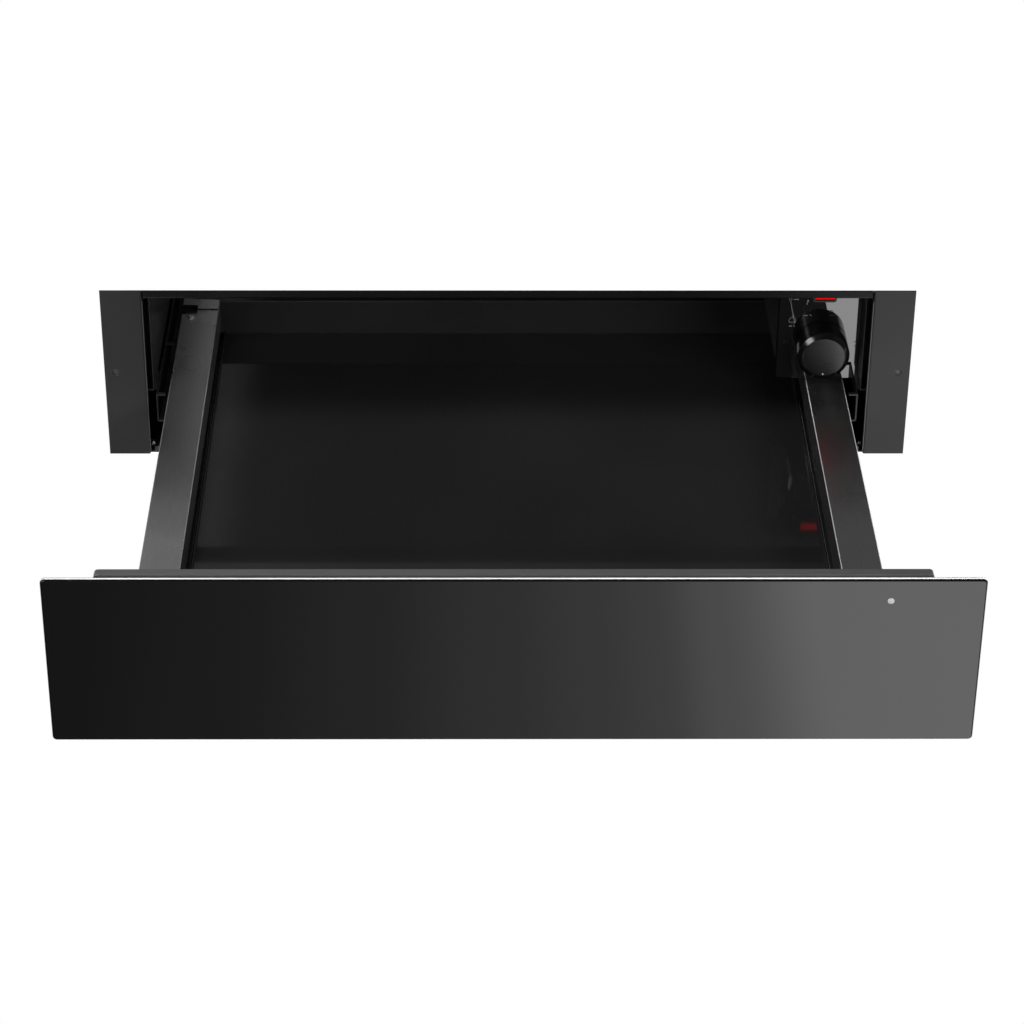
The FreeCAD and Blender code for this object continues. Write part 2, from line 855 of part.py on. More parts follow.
def control_panel():
    """Moulded fascia: an open-backed shell with a tapered fold at its free end."""
    x1 = panel_right
    top = liner_top - 0.2
    shell = block(panel_left, x1, panel_front, box_front, panel_foot, top)
    hollow = block(
        panel_left + panel_wall, x1 - panel_wall, panel_front + panel_wall, box_front + 1,
        panel_foot + 1.4, top - 1.4,
    )
    shell = shell.cut(hollow)
    edge = panel_left - 1
    near, far = panel_front - 1, panel_front + panel_fold_depth
    foot_x = panel_left + panel_fold_foot
    wedge_foot = [(edge, near), (foot_x + 0.8, near), (foot_x, panel_front), (edge, far)]
    rise = top - panel_foot + 2
    shift = (panel_fold_top - panel_fold_foot) * rise / (top - panel_foot)
    lower = Part.makePolygon([V(x, y, panel_foot - 1) for x, y in wedge_foot + wedge_foot[:1]])
    upper = Part.makePolygon([
        V(x + (shift if i in (1, 2) else 0), y, panel_foot - 1 + rise)
        for i, (x, y) in enumerate(wedge_foot + wedge_foot[:1])
    ])
    shell = shell.cut(Part.makeLoft([lower, upper], True, True))
    shaft = rod(bush_radius, (knob_x, panel_front - 1, knob_z), (knob_x, panel_front + 5, knob_z))
    half_w, half_h = switch_width / 2 - 1, switch_height / 2 - 1
    window = block(
        switch_x - half_w, switch_x + half_w, panel_front - 1, panel_front + 5,
        switch_z - half_h, switch_z + half_h,
    )
    return shell.cut(shaft).cut(window)


bush_radius = 4.9


def control_box():
    """Sheet box for the electrical parts, behind the fascia and above the right rail."""
    x0, x1 = panel_left + 1.5, panel_right - 0.1
    z0, z1 = panel_foot + 1.6, liner_top - 0.4
    y0, y1 = box_front, box_back
    outer = block(x0, x1, y0, y1, z0, z1)
    inner = block(x0 + thin_sheet, x1 - thin_sheet, y0 + sheet, y1 - thin_sheet, z0 + thin_sheet, z1 + 1)
    shape = outer.cut(inner)
    cutters = [rod(bush_radius, (knob_x, y0 - 1, knob_z), (knob_x, y0 + 2, knob_z))]
    half_w, half_h = switch_width / 2 - 0.7, switch_height / 2 - 0.7
    cutters.append(block(
        switch_x - half_w, switch_x + half_w, y0 - 1, y0 + 2, switch_z - half_h, switch_z + half_h + 4,
    ))
    for y in (box_back - 62, box_back - 46, box_back - 30):
        cutters.append(slot(y, fan_height + 8, 40.0, 5.0, "x", x0 - 1, x0 + 2, upright=True))
    return cut_all(shape, cutters)


def thermostat():
    """Thermostat with its threaded bush, mounting plate, body and terminals."""
    x, z = knob_x, knob_z
    y = box_front + sheet
    bush = rod(bush_radius, (x, panel_front, z), (x, y, z))
    plate = rounded(x - 21, x + 21, z - 15, z + 15, 3.0, "y", y, y + 1.2)
    body = rounded(x - 18, x + 18, z - 13, z + 13, 2.5, "y", y + 1.2, y + 26)
    shape = bush.fuse(plate).fuse(body)
    for dx in (-12.0, -4.0, 4.0, 12.0):
        shape = shape.fuse(block(x + dx - 2.4, x + dx + 2.4, y + 26, y + 34, z - 0.4, z + 0.4))
    bore = rod(spindle_radius + running_gap, (x, panel_front - 1, z), (x, spindle_end + 0.5, z))
    return shape.cut(bore)


spindle_end = box_front + 18.0


def knob_section(points):
    """Turn a profile of (radius, depth behind the knob's face) pairs about the spindle."""
    corners = [V(knob_x + r, knob_front + d, knob_z) for r, d in points]
    face = Part.Face(Part.makePolygon(corners + corners[:1]))
    return face.revolve(V(knob_x, 0, knob_z), V(0, 1, 0), 360)


cap_recess = 1.0
knob_wall = 2.0
hub_radius = 5.6
hub_stop = 0.9


def knob_body():
    back = knob_length
    inner = knob_radius - knob_wall
    return knob_section([
        (0, cap_recess), (knob_face_radius - 0.4, cap_recess), (knob_face_radius - 0.4, 0.1),
        (knob_face_radius, 0), (knob_radius, knob_chamfer), (knob_radius, back - 0.6),
        (knob_radius - 0.6, back), (inner, back), (inner, 4.2), (hub_radius, 4.2),
        (hub_radius, back - hub_stop), (spindle_radius, back - hub_stop), (spindle_radius, 5.2), (0, 5.2),
    ])


def knob_cap():
    cap = knob_section([(0, 0), (knob_face_radius - 0.4, 0), (knob_face_radius - 0.4, cap_recess), (0, cap_recess)])
    groove = block(
        knob_x - 0.5, knob_x + 0.5, knob_front - 1, knob_front + 0.4, knob_z - 12.2, knob_z - 7.6,
    )
    return cap.cut(groove)


def knob_spindle():
    start = knob_front + 5.2
    return rod(spindle_radius, (knob_x, start, knob_z), (knob_x, spindle_end, knob_z))


def switch_body():
    """Rocker switch housing with its bezel and three blade terminals."""
    x, z, y = switch_x, switch_z, panel_front
    bezel = rounded(
        x - switch_width / 2, x + switch_width / 2, z - switch_height / 2, z + switch_height / 2,
        2.0, "y", y - switch_proud, y,
    )
    rim = [e for e in bezel.Edges if abs(e.BoundBox.YMax - (y - switch_proud)) < 1e-6]
    bezel = bezel.makeChamfer(0.7, rim)
    half_w, half_h = switch_width / 2 - 1, switch_height / 2 - 1
    body = block(x - half_w, x + half_w, y, y + 20, z - half_h, z + half_h)
    shape = bezel.fuse(body)
    mouth = block(
        x - rocker_width / 2 - 0.3, x + rocker_width / 2 + 0.3, y - 5, y + rocker_pivot + rocker_radius + 0.4,
        z - rocker_radius - 0.3, z + rocker_radius + 0.3,
    )
    pins = rod(1.0 + running_gap, (x - half_w - 1, y + rocker_pivot, z), (x + half_w + 1, y + rocker_pivot, z))
    shape = shape.cut(mouth).cut(pins)
    for dx in (-5.0, 0.0, 5.0):
        shape = shape.fuse(block(x + dx - 0.4, x + dx + 0.4, y + 20, y + 28, z - 2.4, z + 2.4))
    return shape


lens_slab = 1.2


def rocker_barrel():
    x, y, z = switch_x, panel_front + rocker_pivot, switch_z
    half = rocker_width / 2
    return rod(rocker_radius, (x - half, y, z), (x + half, y, z))


def rocker_lens_zone():
    y, z = panel_front + rocker_pivot, switch_z
    return block(
        switch_x - 20, switch_x + 20, y - rocker_radius - 1, y - rocker_radius + lens_slab + 1.3,
        z - rocker_radius, z,
    )


def rocker():
    x, y, z = switch_x, panel_front + rocker_pivot, switch_z
    half = rocker_width / 2
    flat = block(x - half - 1, x + half + 1, y - rocker_radius - 1, y - rocker_radius + 0.5, z, z + 8)
    pins = rod(1.0, (x - half - 0.9, y, z), (x + half + 0.9, y, z))
    return rocker_barrel().cut(rocker_lens_zone()).cut(flat).fuse(pins)


def rocker_lens():
    return rocker_barrel().common(rocker_lens_zone())


def terminal_block():
    """Mains terminal strip on the floor of the control box."""
    x0, y0, z0 = panel_left + 8, box_back - 52, panel_foot + 1.6 + thin_sheet
    width, depth, height, ways = 36.0, 18.0, 14.0, 3
    strip = block(x0, x0 + width, y0, y0 + depth, z0, z0 + height)
    cutters = []
    for i in range(ways):
        x = x0 + width * (i + 0.5) / ways
        for y in (y0 + 5, y0 + depth - 5):
            cutters.append(block(x - 2.2, x + 2.2, y - 2.2, y + 2.2, z0 + 6, z0 + height + 1))
    return cut_all(strip, cutters)


# Fan heater and latch at the back


def fan_frame():
    half, z = fan_size / 2, fan_height
    y0, y1 = fan_front, rear_inner
    frame = rounded(-half, half, z - half, z + half, 4.0, "y", y0, y1)
    frame = frame.cut(rod(fan_bore, (0, y0 - 1, z), (0, y1 + 1, z)))
    waist = rounded(-half, half, z - half, z + half, 4.0, "y", y0 + 4, y1 - 4)
    waist = waist.cut(rod(fan_bore + 1.6, (0, y0, z), (0, y1, z)))
    frame = frame.cut(waist)
    struts = []
    for k in range(4):
        arm = block(-1.6, 1.6, y1 - 4, y1 - 0.5, fan_hub - 3, fan_bore + 1)
        arm.rotate(V(0, 0, 0), V(0, 1, 0), 45 + 90 * k)
        arm.translate(V(0, 0, z))
        struts.append(arm)
    motor = rod(fan_hub - 1, (0, y1 - 7, z), (0, y1 - 0.5, z))
    frame = frame.multiFuse(struts + [motor])
    bore = rod(1.5 + running_gap, (0, y0, z), (0, y1 - 1.5, z))
    holes = []
    for sx in (-1, 1):
        for sz in (-1, 1):
            x, zz = sx * (half - 4.3), z + sz * (half - 4.3)
            holes.append(rod(2.1, (x, y0 - 1, zz), (x, y1 + 1, zz)))
    return cut_all(frame, [bore] + holes)


def fan_impeller():
    """Hub, pitched flat blades and the shaft that runs in the motor."""
    z = fan_height
    y0, y1 = fan_front + 2.5, rear_inner - 8.0
    hub = rod(fan_hub, (0, y0, z), (0, y1, z))
    middle, half, blade = (y0 + y1) / 2, (y1 - y0) / 2 - 1, 0.8
    run, pitch = 9.0, 0.6
    blades = []
    for k in range(blade_count):
        slant = prism(
            [(-run - blade, middle - half), (blade - run, middle - half), (run + blade, middle + half),
             (run - blade, middle + half)],
            "z", fan_hub - 2, fan_tip - pitch,
        )
        slant.rotate(V(0, 0, 0), V(0, 1, 0), 360.0 * k / blade_count)
        slant.translate(V(0, 0, z))
        blades.append(slant)
    tips = rod(fan_tip, (0, y0, z), (0, y1, z))
    shaft = rod(1.5, (0, y1, z), (0, rear_inner - 2.5, z))
    return hub.multiFuse(blades).common(tips).fuse(shaft)


def heater_element():
    """Tubular heating ring whose two ends pass through the plate that holds it to the fan."""
    z, y = fan_height, fan_front - 9.0
    half_gap = 14.0
    disc = Part.Face(Part.Wire(Part.makeCircle(heater_tube, V(0, y, z + heater_ring), V(1, 0, 0))))
    disc.rotate(V(0, y, z), V(0, 1, 0), half_gap)
    ring = disc.revolve(V(0, y, z), V(0, 1, 0), 360 - 2 * half_gap)
    x = heater_ring * math.sin(math.radians(half_gap))
    level = z + heater_ring * math.cos(math.radians(half_gap))
    plate = block(-x - 1, x + 1, y - 5, fan_front, level - 5, level + 5)
    plate = plate.cut(block(-x + 0.6, x - 0.6, y - 6, fan_front - 1.2, level - 6, level + 6))
    return ring.fuse(plate)


def air_baffle():
    """Perforated wall in front of the fan heater, folded against the side walls."""
    foot, top = liner_foot + 1.6, liner_top - 0.2
    half = liner_half
    path = [
        (half, baffle_front + 12), (half, baffle_front), (-half, baffle_front), (-half, baffle_front + 12),
    ]
    wall = folded(path, thin_sheet, bend, "z", foot, top)
    holes = fan_grille(baffle_front - 1, baffle_front + 2)
    for side in (-1, 1):
        for k in range(3):
            x = side * (liner_half - 30 - 50.0 * k)
            holes.append(slot(x, fan_height + 12, 34.0, 7.0, "y", baffle_front - 1, baffle_front + 2))
    return cut_all(wall, holes)


def latch_body():
    """Push-to-open unit on its pedestal."""
    wide, top = latch_half, latch_height + 9.0
    y0, y1 = latch_front, latch_back
    shape = block(-wide, wide, y0, y1, sheet, top)
    arch = block(-wide - 1, wide + 1, y0 + 7, y1 - 7, sheet - 0.1 + 1.2, latch_height - 8)
    shape = shape.cut(arch)
    upper = [e for e in shape.Edges if abs(e.BoundBox.ZMin - top) < 1e-6 and e.BoundBox.YLength > 20]
    shape = shape.makeFillet(2.0, upper)
    bore = rod(plunger_radius + running_gap, (0, y0 - 1, latch_height), (0, y1 - 2, latch_height))
    return shape.cut(bore)


def latch_plunger():
    end = latch_back - 10
    body = rod(plunger_radius, (0, plunger_tip, latch_height), (0, end, latch_height))
    tip = [e for e in body.Edges if e.isClosed() and abs(e.BoundBox.YMax - plunger_tip) < 1e-3]
    return body.makeChamfer(0.8, tip[:1])


def build():
    put("front_glass", front_glass())
    put("bonding_tape", bonding_tape())
    put("front_carrier", front_carrier())
    put("indicator_lens", indicator_lens())
    put("glass_buffers", buffers())

    put_pair("rail", rail())
    put_pair("slide_spacer", slide_spacer())
    put("front_brackets", [front_bracket(), flip(front_bracket())])
    put("drawer_screws", drawer_screws())
    put("base_pan", base_pan())
    put("base_gasket", base_gasket())
    put("base_glass", base_glass())
    put("back_wall", back_wall())
    put("striker_plate", striker_plate())

    put_pair("outer_member", outer_member())
    put_pair("middle_member", middle_member())
    put_pair("inner_member", inner_member())
    put("outer_cages", ball_cage(outer_race, 2.4, 7.6, outer_cage_start))
    put("inner_cages", ball_cage(inner_race, 6.4, 10.7, inner_cage_start))
    put_pair("runner_bracket", runner_bracket())
    put("slide_rivets", slide_rivets())
    put("runner_supports", runner_supports())

    put("base_tray", base_tray())
    put_pair("side_panel", side_panel())
    put_pair("fixing_flange", fixing_flange())
    put("top_front_rail", top_front_rail())
    put("top_cover", top_cover())
    put("rear_panel", rear_panel())
    put("cable_gland", cable_gland())
    put_pair("liner", liner())
    put("ceiling_liner", ceiling_liner())
    put("insulation", insulation())
    put("housing_screws", housing_screws())

    put("control_panel", control_panel())
    put("control_box", control_box())
    put("thermostat", thermostat())
    put("terminal_block", terminal_block())
    put("knob_body", knob_body())
    put("knob_cap", knob_cap())
    put("knob_spindle", knob_spindle())
    put("switch_body", switch_body())
    put("rocker", rocker())
    put("rocker_lens", rocker_lens())

    put("fan_frame", fan_frame())
    put("fan_impeller", fan_impeller(), merge=False)
    put("heater_element", heater_element())
    put("air_baffle", air_baffle())
    put("latch_body", latch_body())
    put("latch_plunger", latch_plunger())


build()
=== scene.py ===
"""Looks of the warming drawer: its visible surfaces, the white furniture front and the studio."""

import json
import math

import bmesh
import bpy
from mathutils import Matrix, Vector


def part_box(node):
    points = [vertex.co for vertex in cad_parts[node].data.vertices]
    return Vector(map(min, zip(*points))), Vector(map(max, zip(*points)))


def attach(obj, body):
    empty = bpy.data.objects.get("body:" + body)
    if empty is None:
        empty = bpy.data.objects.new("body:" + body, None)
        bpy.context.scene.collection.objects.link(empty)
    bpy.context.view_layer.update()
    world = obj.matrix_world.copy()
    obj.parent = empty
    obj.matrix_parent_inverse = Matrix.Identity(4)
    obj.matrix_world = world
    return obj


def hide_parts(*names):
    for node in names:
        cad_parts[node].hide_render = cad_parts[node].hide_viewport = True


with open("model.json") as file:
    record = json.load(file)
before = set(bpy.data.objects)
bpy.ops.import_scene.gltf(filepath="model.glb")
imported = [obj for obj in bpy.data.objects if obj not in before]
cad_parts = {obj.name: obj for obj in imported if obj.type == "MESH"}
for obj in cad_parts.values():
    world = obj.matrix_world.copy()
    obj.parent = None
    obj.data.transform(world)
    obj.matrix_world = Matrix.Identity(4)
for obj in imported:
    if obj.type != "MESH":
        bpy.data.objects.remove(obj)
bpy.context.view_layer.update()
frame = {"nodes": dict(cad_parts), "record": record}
nodes = frame["nodes"]

MM = 0.001


def span(node):
    """The low and high corners of a CAD node."""
    low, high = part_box(node)
    return Vector(low), Vector(high)


# Places read from the frame
flange_low, flange_high = span("right_fixing_flange")
glass_low, glass_high = span("front_glass")
rail_low, rail_high = span("right_rail")
panel_low, panel_high = span("control_panel")
knob_low, knob_high = span("knob_body")
base_low, base_high = span("base_glass")
lens_low, lens_high = span("indicator_lens")
FRONT = flange_low.y


def at(x, y, z):
    """A point given in millimetres from the middle of the flanges' front plane."""
    return Vector((x * MM, FRONT + y * MM, z * MM))


# Materials


class Nodes:
    """Short names for adding and linking shader nodes."""

    def __init__(self, name):
        self.material = bpy.data.materials.new(name)
        self.material.use_nodes = True
        self.tree = self.material.node_tree
        self.shader = self.tree.nodes["Principled BSDF"]
        self.output = self.tree.nodes["Material Output"]

    def add(self, kind, **settings):
        """A new node. A setting goes to the input of that name, or else to the node itself."""
        node = self.tree.nodes.new(kind)
        for key, value in settings.items():
            if key in node.inputs:
                node.inputs[key].default_value = value
            else:
                setattr(node, key, value)
        return node

    def link(self, source, target):
        self.tree.links.new(source, target)

    def position(self, scale):
        """Object coordinates, stretched so that grain can run along one axis."""
        coordinates = self.add("ShaderNodeTexCoord")
        mapping = self.add("ShaderNodeMapping")
        mapping.inputs["Scale"].default_value = scale
        self.link(coordinates.outputs["Object"], mapping.inputs["Vector"])
        return mapping.outputs["Vector"]

    def noise(self, scale, size, detail=4.0, roughness=0.6):
        """Noise in object coordinates. A larger size number makes a finer pattern."""
        texture = self.add("ShaderNodeTexNoise", Scale=size, Detail=detail, Roughness=roughness)
        self.link(self.position(scale), texture.inputs["Vector"])
        return texture.outputs["Fac"]

    def spread(self, value, low, high, start=0.35, end=0.65):
        """Map a noise value to a range."""
        node = self.add("ShaderNodeMapRange")
        node.inputs["From Min"].default_value = start
        node.inputs["From Max"].default_value = end
        node.inputs["To Min"].default_value = low
        node.inputs["To Max"].default_value = high
        self.link(value, node.inputs["Value"])
        return node.outputs["Result"]

    def tint(self, factor, dark, light):
        """A colour between two, by a factor."""
        node = self.add("ShaderNodeMix", data_type="RGBA")
        colours = [socket for socket in node.inputs if socket.type == "RGBA"]
        colours[0].default_value = (*dark, 1)
        colours[1].default_value = (*light, 1)
        self.link(factor, node.inputs["Factor"])
        return [socket for socket in node.outputs if socket.type == "RGBA"][0]

    def bump(self, height, strength, distance, edge=0.0):
        """Surface relief, on edges that a small radius rounds where one is given."""
        node = self.add("ShaderNodeBump", Strength=strength, Distance=distance)
        self.link(height, node.inputs["Height"])
        if edge:
            rounding = self.add("ShaderNodeBevel", samples=4)
            rounding.inputs["Radius"].default_value = edge
            self.link(rounding.outputs["Normal"], node.inputs["Normal"])
        self.link(node.outputs["Normal"], self.shader.inputs["Normal"])


EDGE_ROUNDING = 0.3 * MM
EVEN = (1, 1, 1)
ALONG_X = (1.0, 60, 60)
ALONG_Y = (60, 1.0, 60)
ACROSS_FACE = (1, 1, 40)


def brushed(name, dark, light, roughness, grain, metallic=1.0, streak=0.08, edge=EDGE_ROUNDING):
    """Brushed or rolled metal. grain says how finely the streaks are packed along X, Y and Z."""
    m = Nodes(name)
    streaks = m.noise(grain, 60.0, detail=6.0, roughness=0.7)
    broad = m.noise(EVEN, 14.0, detail=2.0)
    m.link(m.tint(m.spread(streaks, 0, 1), dark, light), m.shader.inputs["Base Color"])
    m.link(m.spread(broad, roughness - 0.04, roughness + 0.06), m.shader.inputs["Roughness"])
    m.shader.inputs["Metallic"].default_value = metallic
    m.bump(streaks, strength=streak, distance=0.3 * MM, edge=edge)
    return m.material


def coated(
    name, dark, light, roughness, grain_size=2600.0, grain=0.25, specular=0.5, edge=EDGE_ROUNDING,
):
    """Powder coat or moulded plastic with a fine grain."""
    m = Nodes(name)
    fine = m.noise(EVEN, grain_size, detail=2.0)
    broad = m.noise(EVEN, 9.0, detail=2.0)
    m.link(m.tint(m.spread(broad, 0, 1), dark, light), m.shader.inputs["Base Color"])
    m.link(m.spread(fine, roughness - 0.05, roughness + 0.05), m.shader.inputs["Roughness"])
    m.shader.inputs["Specular IOR Level"].default_value = specular
    m.bump(fine, strength=grain, distance=0.1 * MM, edge=edge)
    return m.material


def black_gloss(name, colour, ior, roughness=0.03, ripple=0.02):
    """Back-painted glass or polished plastic: deep colour under a clear, nearly flat surface."""
    m = Nodes(name)
    broad = m.noise(EVEN, 7.0, detail=1.0)
    fine = m.noise(EVEN, 45.0, detail=3.0)
    dark = tuple(c * 0.85 for c in colour)
    m.link(m.tint(m.spread(broad, 0, 1), dark, colour), m.shader.inputs["Base Color"])
    m.link(m.spread(fine, roughness * 0.7, roughness * 1.3), m.shader.inputs["Roughness"])
    m.shader.inputs["IOR"].default_value = ior
    m.bump(broad, strength=ripple, distance=0.2 * MM)
    return m.material


def glow(name, colour, strength, base):
    """A lit lens: coloured plastic with light behind its ribs."""
    m = Nodes(name)
    ribs = m.noise(EVEN, 900.0, detail=1.0)
    m.link(m.spread(ribs, strength * 0.85, strength * 1.1), m.shader.inputs["Emission Strength"])
    m.shader.inputs["Emission Color"].default_value = (*colour, 1)
    m.link(m.tint(ribs, tuple(c * 0.8 for c in base), base), m.shader.inputs["Base Color"])
    m.shader.inputs["Roughness"].default_value = 0.2
    return m.material


def grey(value):
    """A neutral colour."""
    return (value, value, value)


# Glass
front_black = black_gloss("front_black_glass", (0.0022, 0.0022, 0.0026), ior=1.8)
base_black = black_gloss(
    "base_black_glass", (0.0105, 0.0105, 0.0108), ior=1.38, roughness=0.05, ripple=0.012,
)
glass_rim = black_gloss("glass_rim", grey(0.002), ior=1.3, roughness=0.12)
glass_edge = coated("ground_glass_edge", grey(0.5), grey(0.6), 0.4, 900.0, 0.1)
base_edge = coated("base_glass_edge", grey(0.05), grey(0.07), 0.35, 900.0, 0.1, edge=0.0)

# Steel
rail_steel = brushed("rail_steel", grey(0.46), grey(0.56), 0.3, ALONG_Y, metallic=0.99)
# The rails' inner walls: the rail steel darkened with painted shade.
rail_wall_painted_shade = brushed("rail_wall_steel_painted_shade", grey(0.06), grey(0.09), 0.3, ALONG_Y, metallic=0.7)
cross_steel = brushed("cross_brushed_steel", grey(0.17), grey(0.25), 0.32, ALONG_X, metallic=0.85)
# The drawer's back wall: steel darkened with painted shade.
back_wall_painted_shade = brushed("back_wall_steel_painted_shade", grey(0.009), grey(0.013), 0.3, ALONG_X, metallic=0.3)
# Painted highlight on the rails' bends, stronger on the right rail than on the left.
painted_highlight_edge = brushed("sheet_edge_painted_highlight", grey(0.7), grey(0.8), 0.3, EVEN, metallic=0.6)
dim_painted_highlight_edge = brushed("sheet_edge_dim_painted_highlight", grey(0.36), grey(0.44), 0.3, EVEN, metallic=0.7)
zinc = brushed("zinc_steel", grey(0.1), grey(0.15), 0.38, (4, 4, 4), metallic=0.95, streak=0.02)
# The runner brackets: the zinc darkened with painted shade.
bracket_zinc_painted_shade = brushed("bracket_zinc_painted_shade", grey(0.035), grey(0.055), 0.38, (4, 4, 4), metallic=0.9, streak=0.02)
# The ceiling: a paler, more diffuse copy of the zinc, painted light that the rails mirror.
ceiling_zinc_painted_light = brushed("ceiling_zinc_painted_light", grey(0.42), grey(0.5), 0.5, (3, 1, 1), metallic=0.3, streak=0.02)
bright_steel = brushed("bright_steel", grey(0.7), grey(0.85), 0.18, (10, 10, 10), metallic=0.9, streak=0.02)
heater_steel = brushed("heat_tinted_steel", (0.2, 0.17, 0.14), (0.3, 0.27, 0.24), 0.35, (3, 3, 3))
knob_metal = brushed("knob_face_metal", grey(0.065), grey(0.095), 0.35, ACROSS_FACE, streak=0.05)

# Coats
flange_coat = coated("flange_powder_coat", grey(0.011), grey(0.014), 0.5, 2200.0, 0.35, 0.35)
# Painted highlight along the flanges' inner bends.
painted_edge_highlight = coated("flange_edge_painted_highlight", grey(0.04), grey(0.055), 0.4, 1800.0, 0.1)
strip_coat = coated("top_strip_coat", grey(0.003), grey(0.004), 0.4, 2200.0, 0.3, 0.2)
# The right liner: the black enamel darkened further with painted shade.
liner_painted_shade = coated("liner_coat_painted_shade", grey(0.004), grey(0.006), 0.5, 1400.0, 0.06, 0.2, edge=0.0)
enamel = coated("black_enamel", grey(0.008), grey(0.011), 0.3, 1400.0, 0.06)

# Plastic, rubber and fleece
panel_black = black_gloss("panel_black", (0.0015, 0.0015, 0.0017), ior=2.4, roughness=0.02, ripple=0.008)
knob_black = black_gloss("knob_black", grey(0.0016), ior=1.4, roughness=0.16)
black_plastic = coated("black_plastic", grey(0.016), grey(0.022), 0.45)
bezel_plastic = coated("bezel_plastic", grey(0.012), grey(0.016), 0.35, 1800.0, 0.1)
white_plastic = coated("white_plastic", (0.62, 0.61, 0.57), (0.7, 0.69, 0.65), 0.4)
clear_lens = coated("frosted_lens", grey(0.2), grey(0.24), 0.3, 1500.0, 0.1)
red_glow = glow("red_lens", (1.0, 0.0, 0.0), 0.95, (0.1, 0.0, 0.0))
rubber = coated("black_rubber", grey(0.015), grey(0.02), 0.7)
fleece = coated("fleece_facing", grey(0.045), grey(0.06), 0.9, 500.0, 0.9)

# Print, and painted shade in grooves, seams and holes
print_white = coated("printed_white", grey(0.07), grey(0.09), 0.5, edge=0.0)
print_grey = coated("printed_grey", grey(0.008), grey(0.011), 0.5, edge=0.0)
white_dot = coated("white_dot", grey(0.3), grey(0.35), 0.5, edge=0.0)
# Black for the panel strip, and painted shade where it marks the knob's pointer groove and the front edges
# of the back wall's ears.
black_and_painted_shade = coated("black_and_painted_shade", grey(0.003), grey(0.004), 0.6, edge=0.0)
# Painted shade inside the cabinet's screw holes.
hole_painted_shade = coated("pilot_hole_painted_shade", grey(0.03), grey(0.04), 0.7, edge=0.0)

# The finish that each slot of the record gets, and the nodes that differ from their slot
FINISH = {
    "black_glass": front_black, "base_glass": base_black, "seal": rubber, "satin_steel": cross_steel,
    "clear_lens": clear_lens, "rubber": rubber, "brushed_steel": rail_steel, "zinc_steel": zinc,
    "bright_steel": bright_steel, "dark_coated_steel": flange_coat, "black_enamel": enamel,
    "mineral_wool": fleece, "gloss_black_plastic": panel_black, "black_plastic": black_plastic,
    "white_plastic": white_plastic, "knob_metal": knob_metal, "red_lens": red_glow,
    "heater_steel": heater_steel,
}
SPECIAL = {
    "top_front_rail": strip_coat, "switch_body": bezel_plastic, "ceiling_liner": ceiling_zinc_painted_light,
    "right_liner": liner_painted_shade, "right_runner_bracket": bracket_zinc_painted_shade, "left_runner_bracket": bracket_zinc_painted_shade,
}
for part in frame["record"]["subparts"]:
    mesh = nodes[part["node"]].data
    mesh.materials.clear()
    mesh.materials.append(SPECIAL.get(part["node"], FINISH[part["material_slot"]]))


# Mesh helpers


def new_piece(name, mesh_data, body, materials, replaced=()):
    """Turn a bmesh into a piece that rides a body and may stand for CAD nodes."""
    mesh = bpy.data.meshes.new(name)
    bmesh.ops.recalc_face_normals(mesh_data, faces=mesh_data.faces)
    mesh_data.to_mesh(mesh)
    mesh_data.free()
    piece = bpy.data.objects.new(name, mesh)
    bpy.context.scene.collection.objects.link(piece)
    for material in materials:
        mesh.materials.append(material)
    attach(piece, body)
    if replaced:
        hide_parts(*replaced)
    return piece


def smooth(piece, angle=35):
    """Shade curved stretches smoothly and keep the edges that are sharper than the angle."""
    mesh = piece.data
    for polygon in mesh.polygons:
        polygon.use_smooth = True
    work = bmesh.new()
    work.from_mesh(mesh)
    for edge in work.edges:
        if len(edge.link_faces) == 2:
            edge.smooth = edge.calc_face_angle(0) < math.radians(angle)
    work.to_mesh(mesh)
    work.free()
    even = piece.modifiers.new("even_shading", "WEIGHTED_NORMAL")
    even.keep_sharp = True
    return piece


def recoated(name, node, body, materials, material_of):
    """A copy of a CAD node whose faces take their material from their centre and normal."""
    work = bmesh.new()
    work.from_mesh(nodes[node].data)
    work.normal_update()
    for face in work.faces:
        face.material_index = material_of(face.calc_center_median(), face.normal)
        face.smooth = False
    return new_piece(name, work, body, materials, [node])


def rounded_outline(u0, u1, v0, v1, radius, steps=6):
    """Points of a rectangle with rounded corners, anticlockwise from the lower right corner."""
    corners = [
        (u1 - radius, v0 + radius, -90), (u1 - radius, v1 - radius, 0),
        (u0 + radius, v1 - radius, 90), (u0 + radius, v0 + radius, 180),
    ]
    points = []
    for cu, cv, start in corners:
        for k in range(steps + 1):
            a = math.radians(start + 90 * k / steps)
            points.append((cu + radius * math.cos(a), cv + radius * math.sin(a)))
    return points


LEAST_CORNER = 0.01 * MM


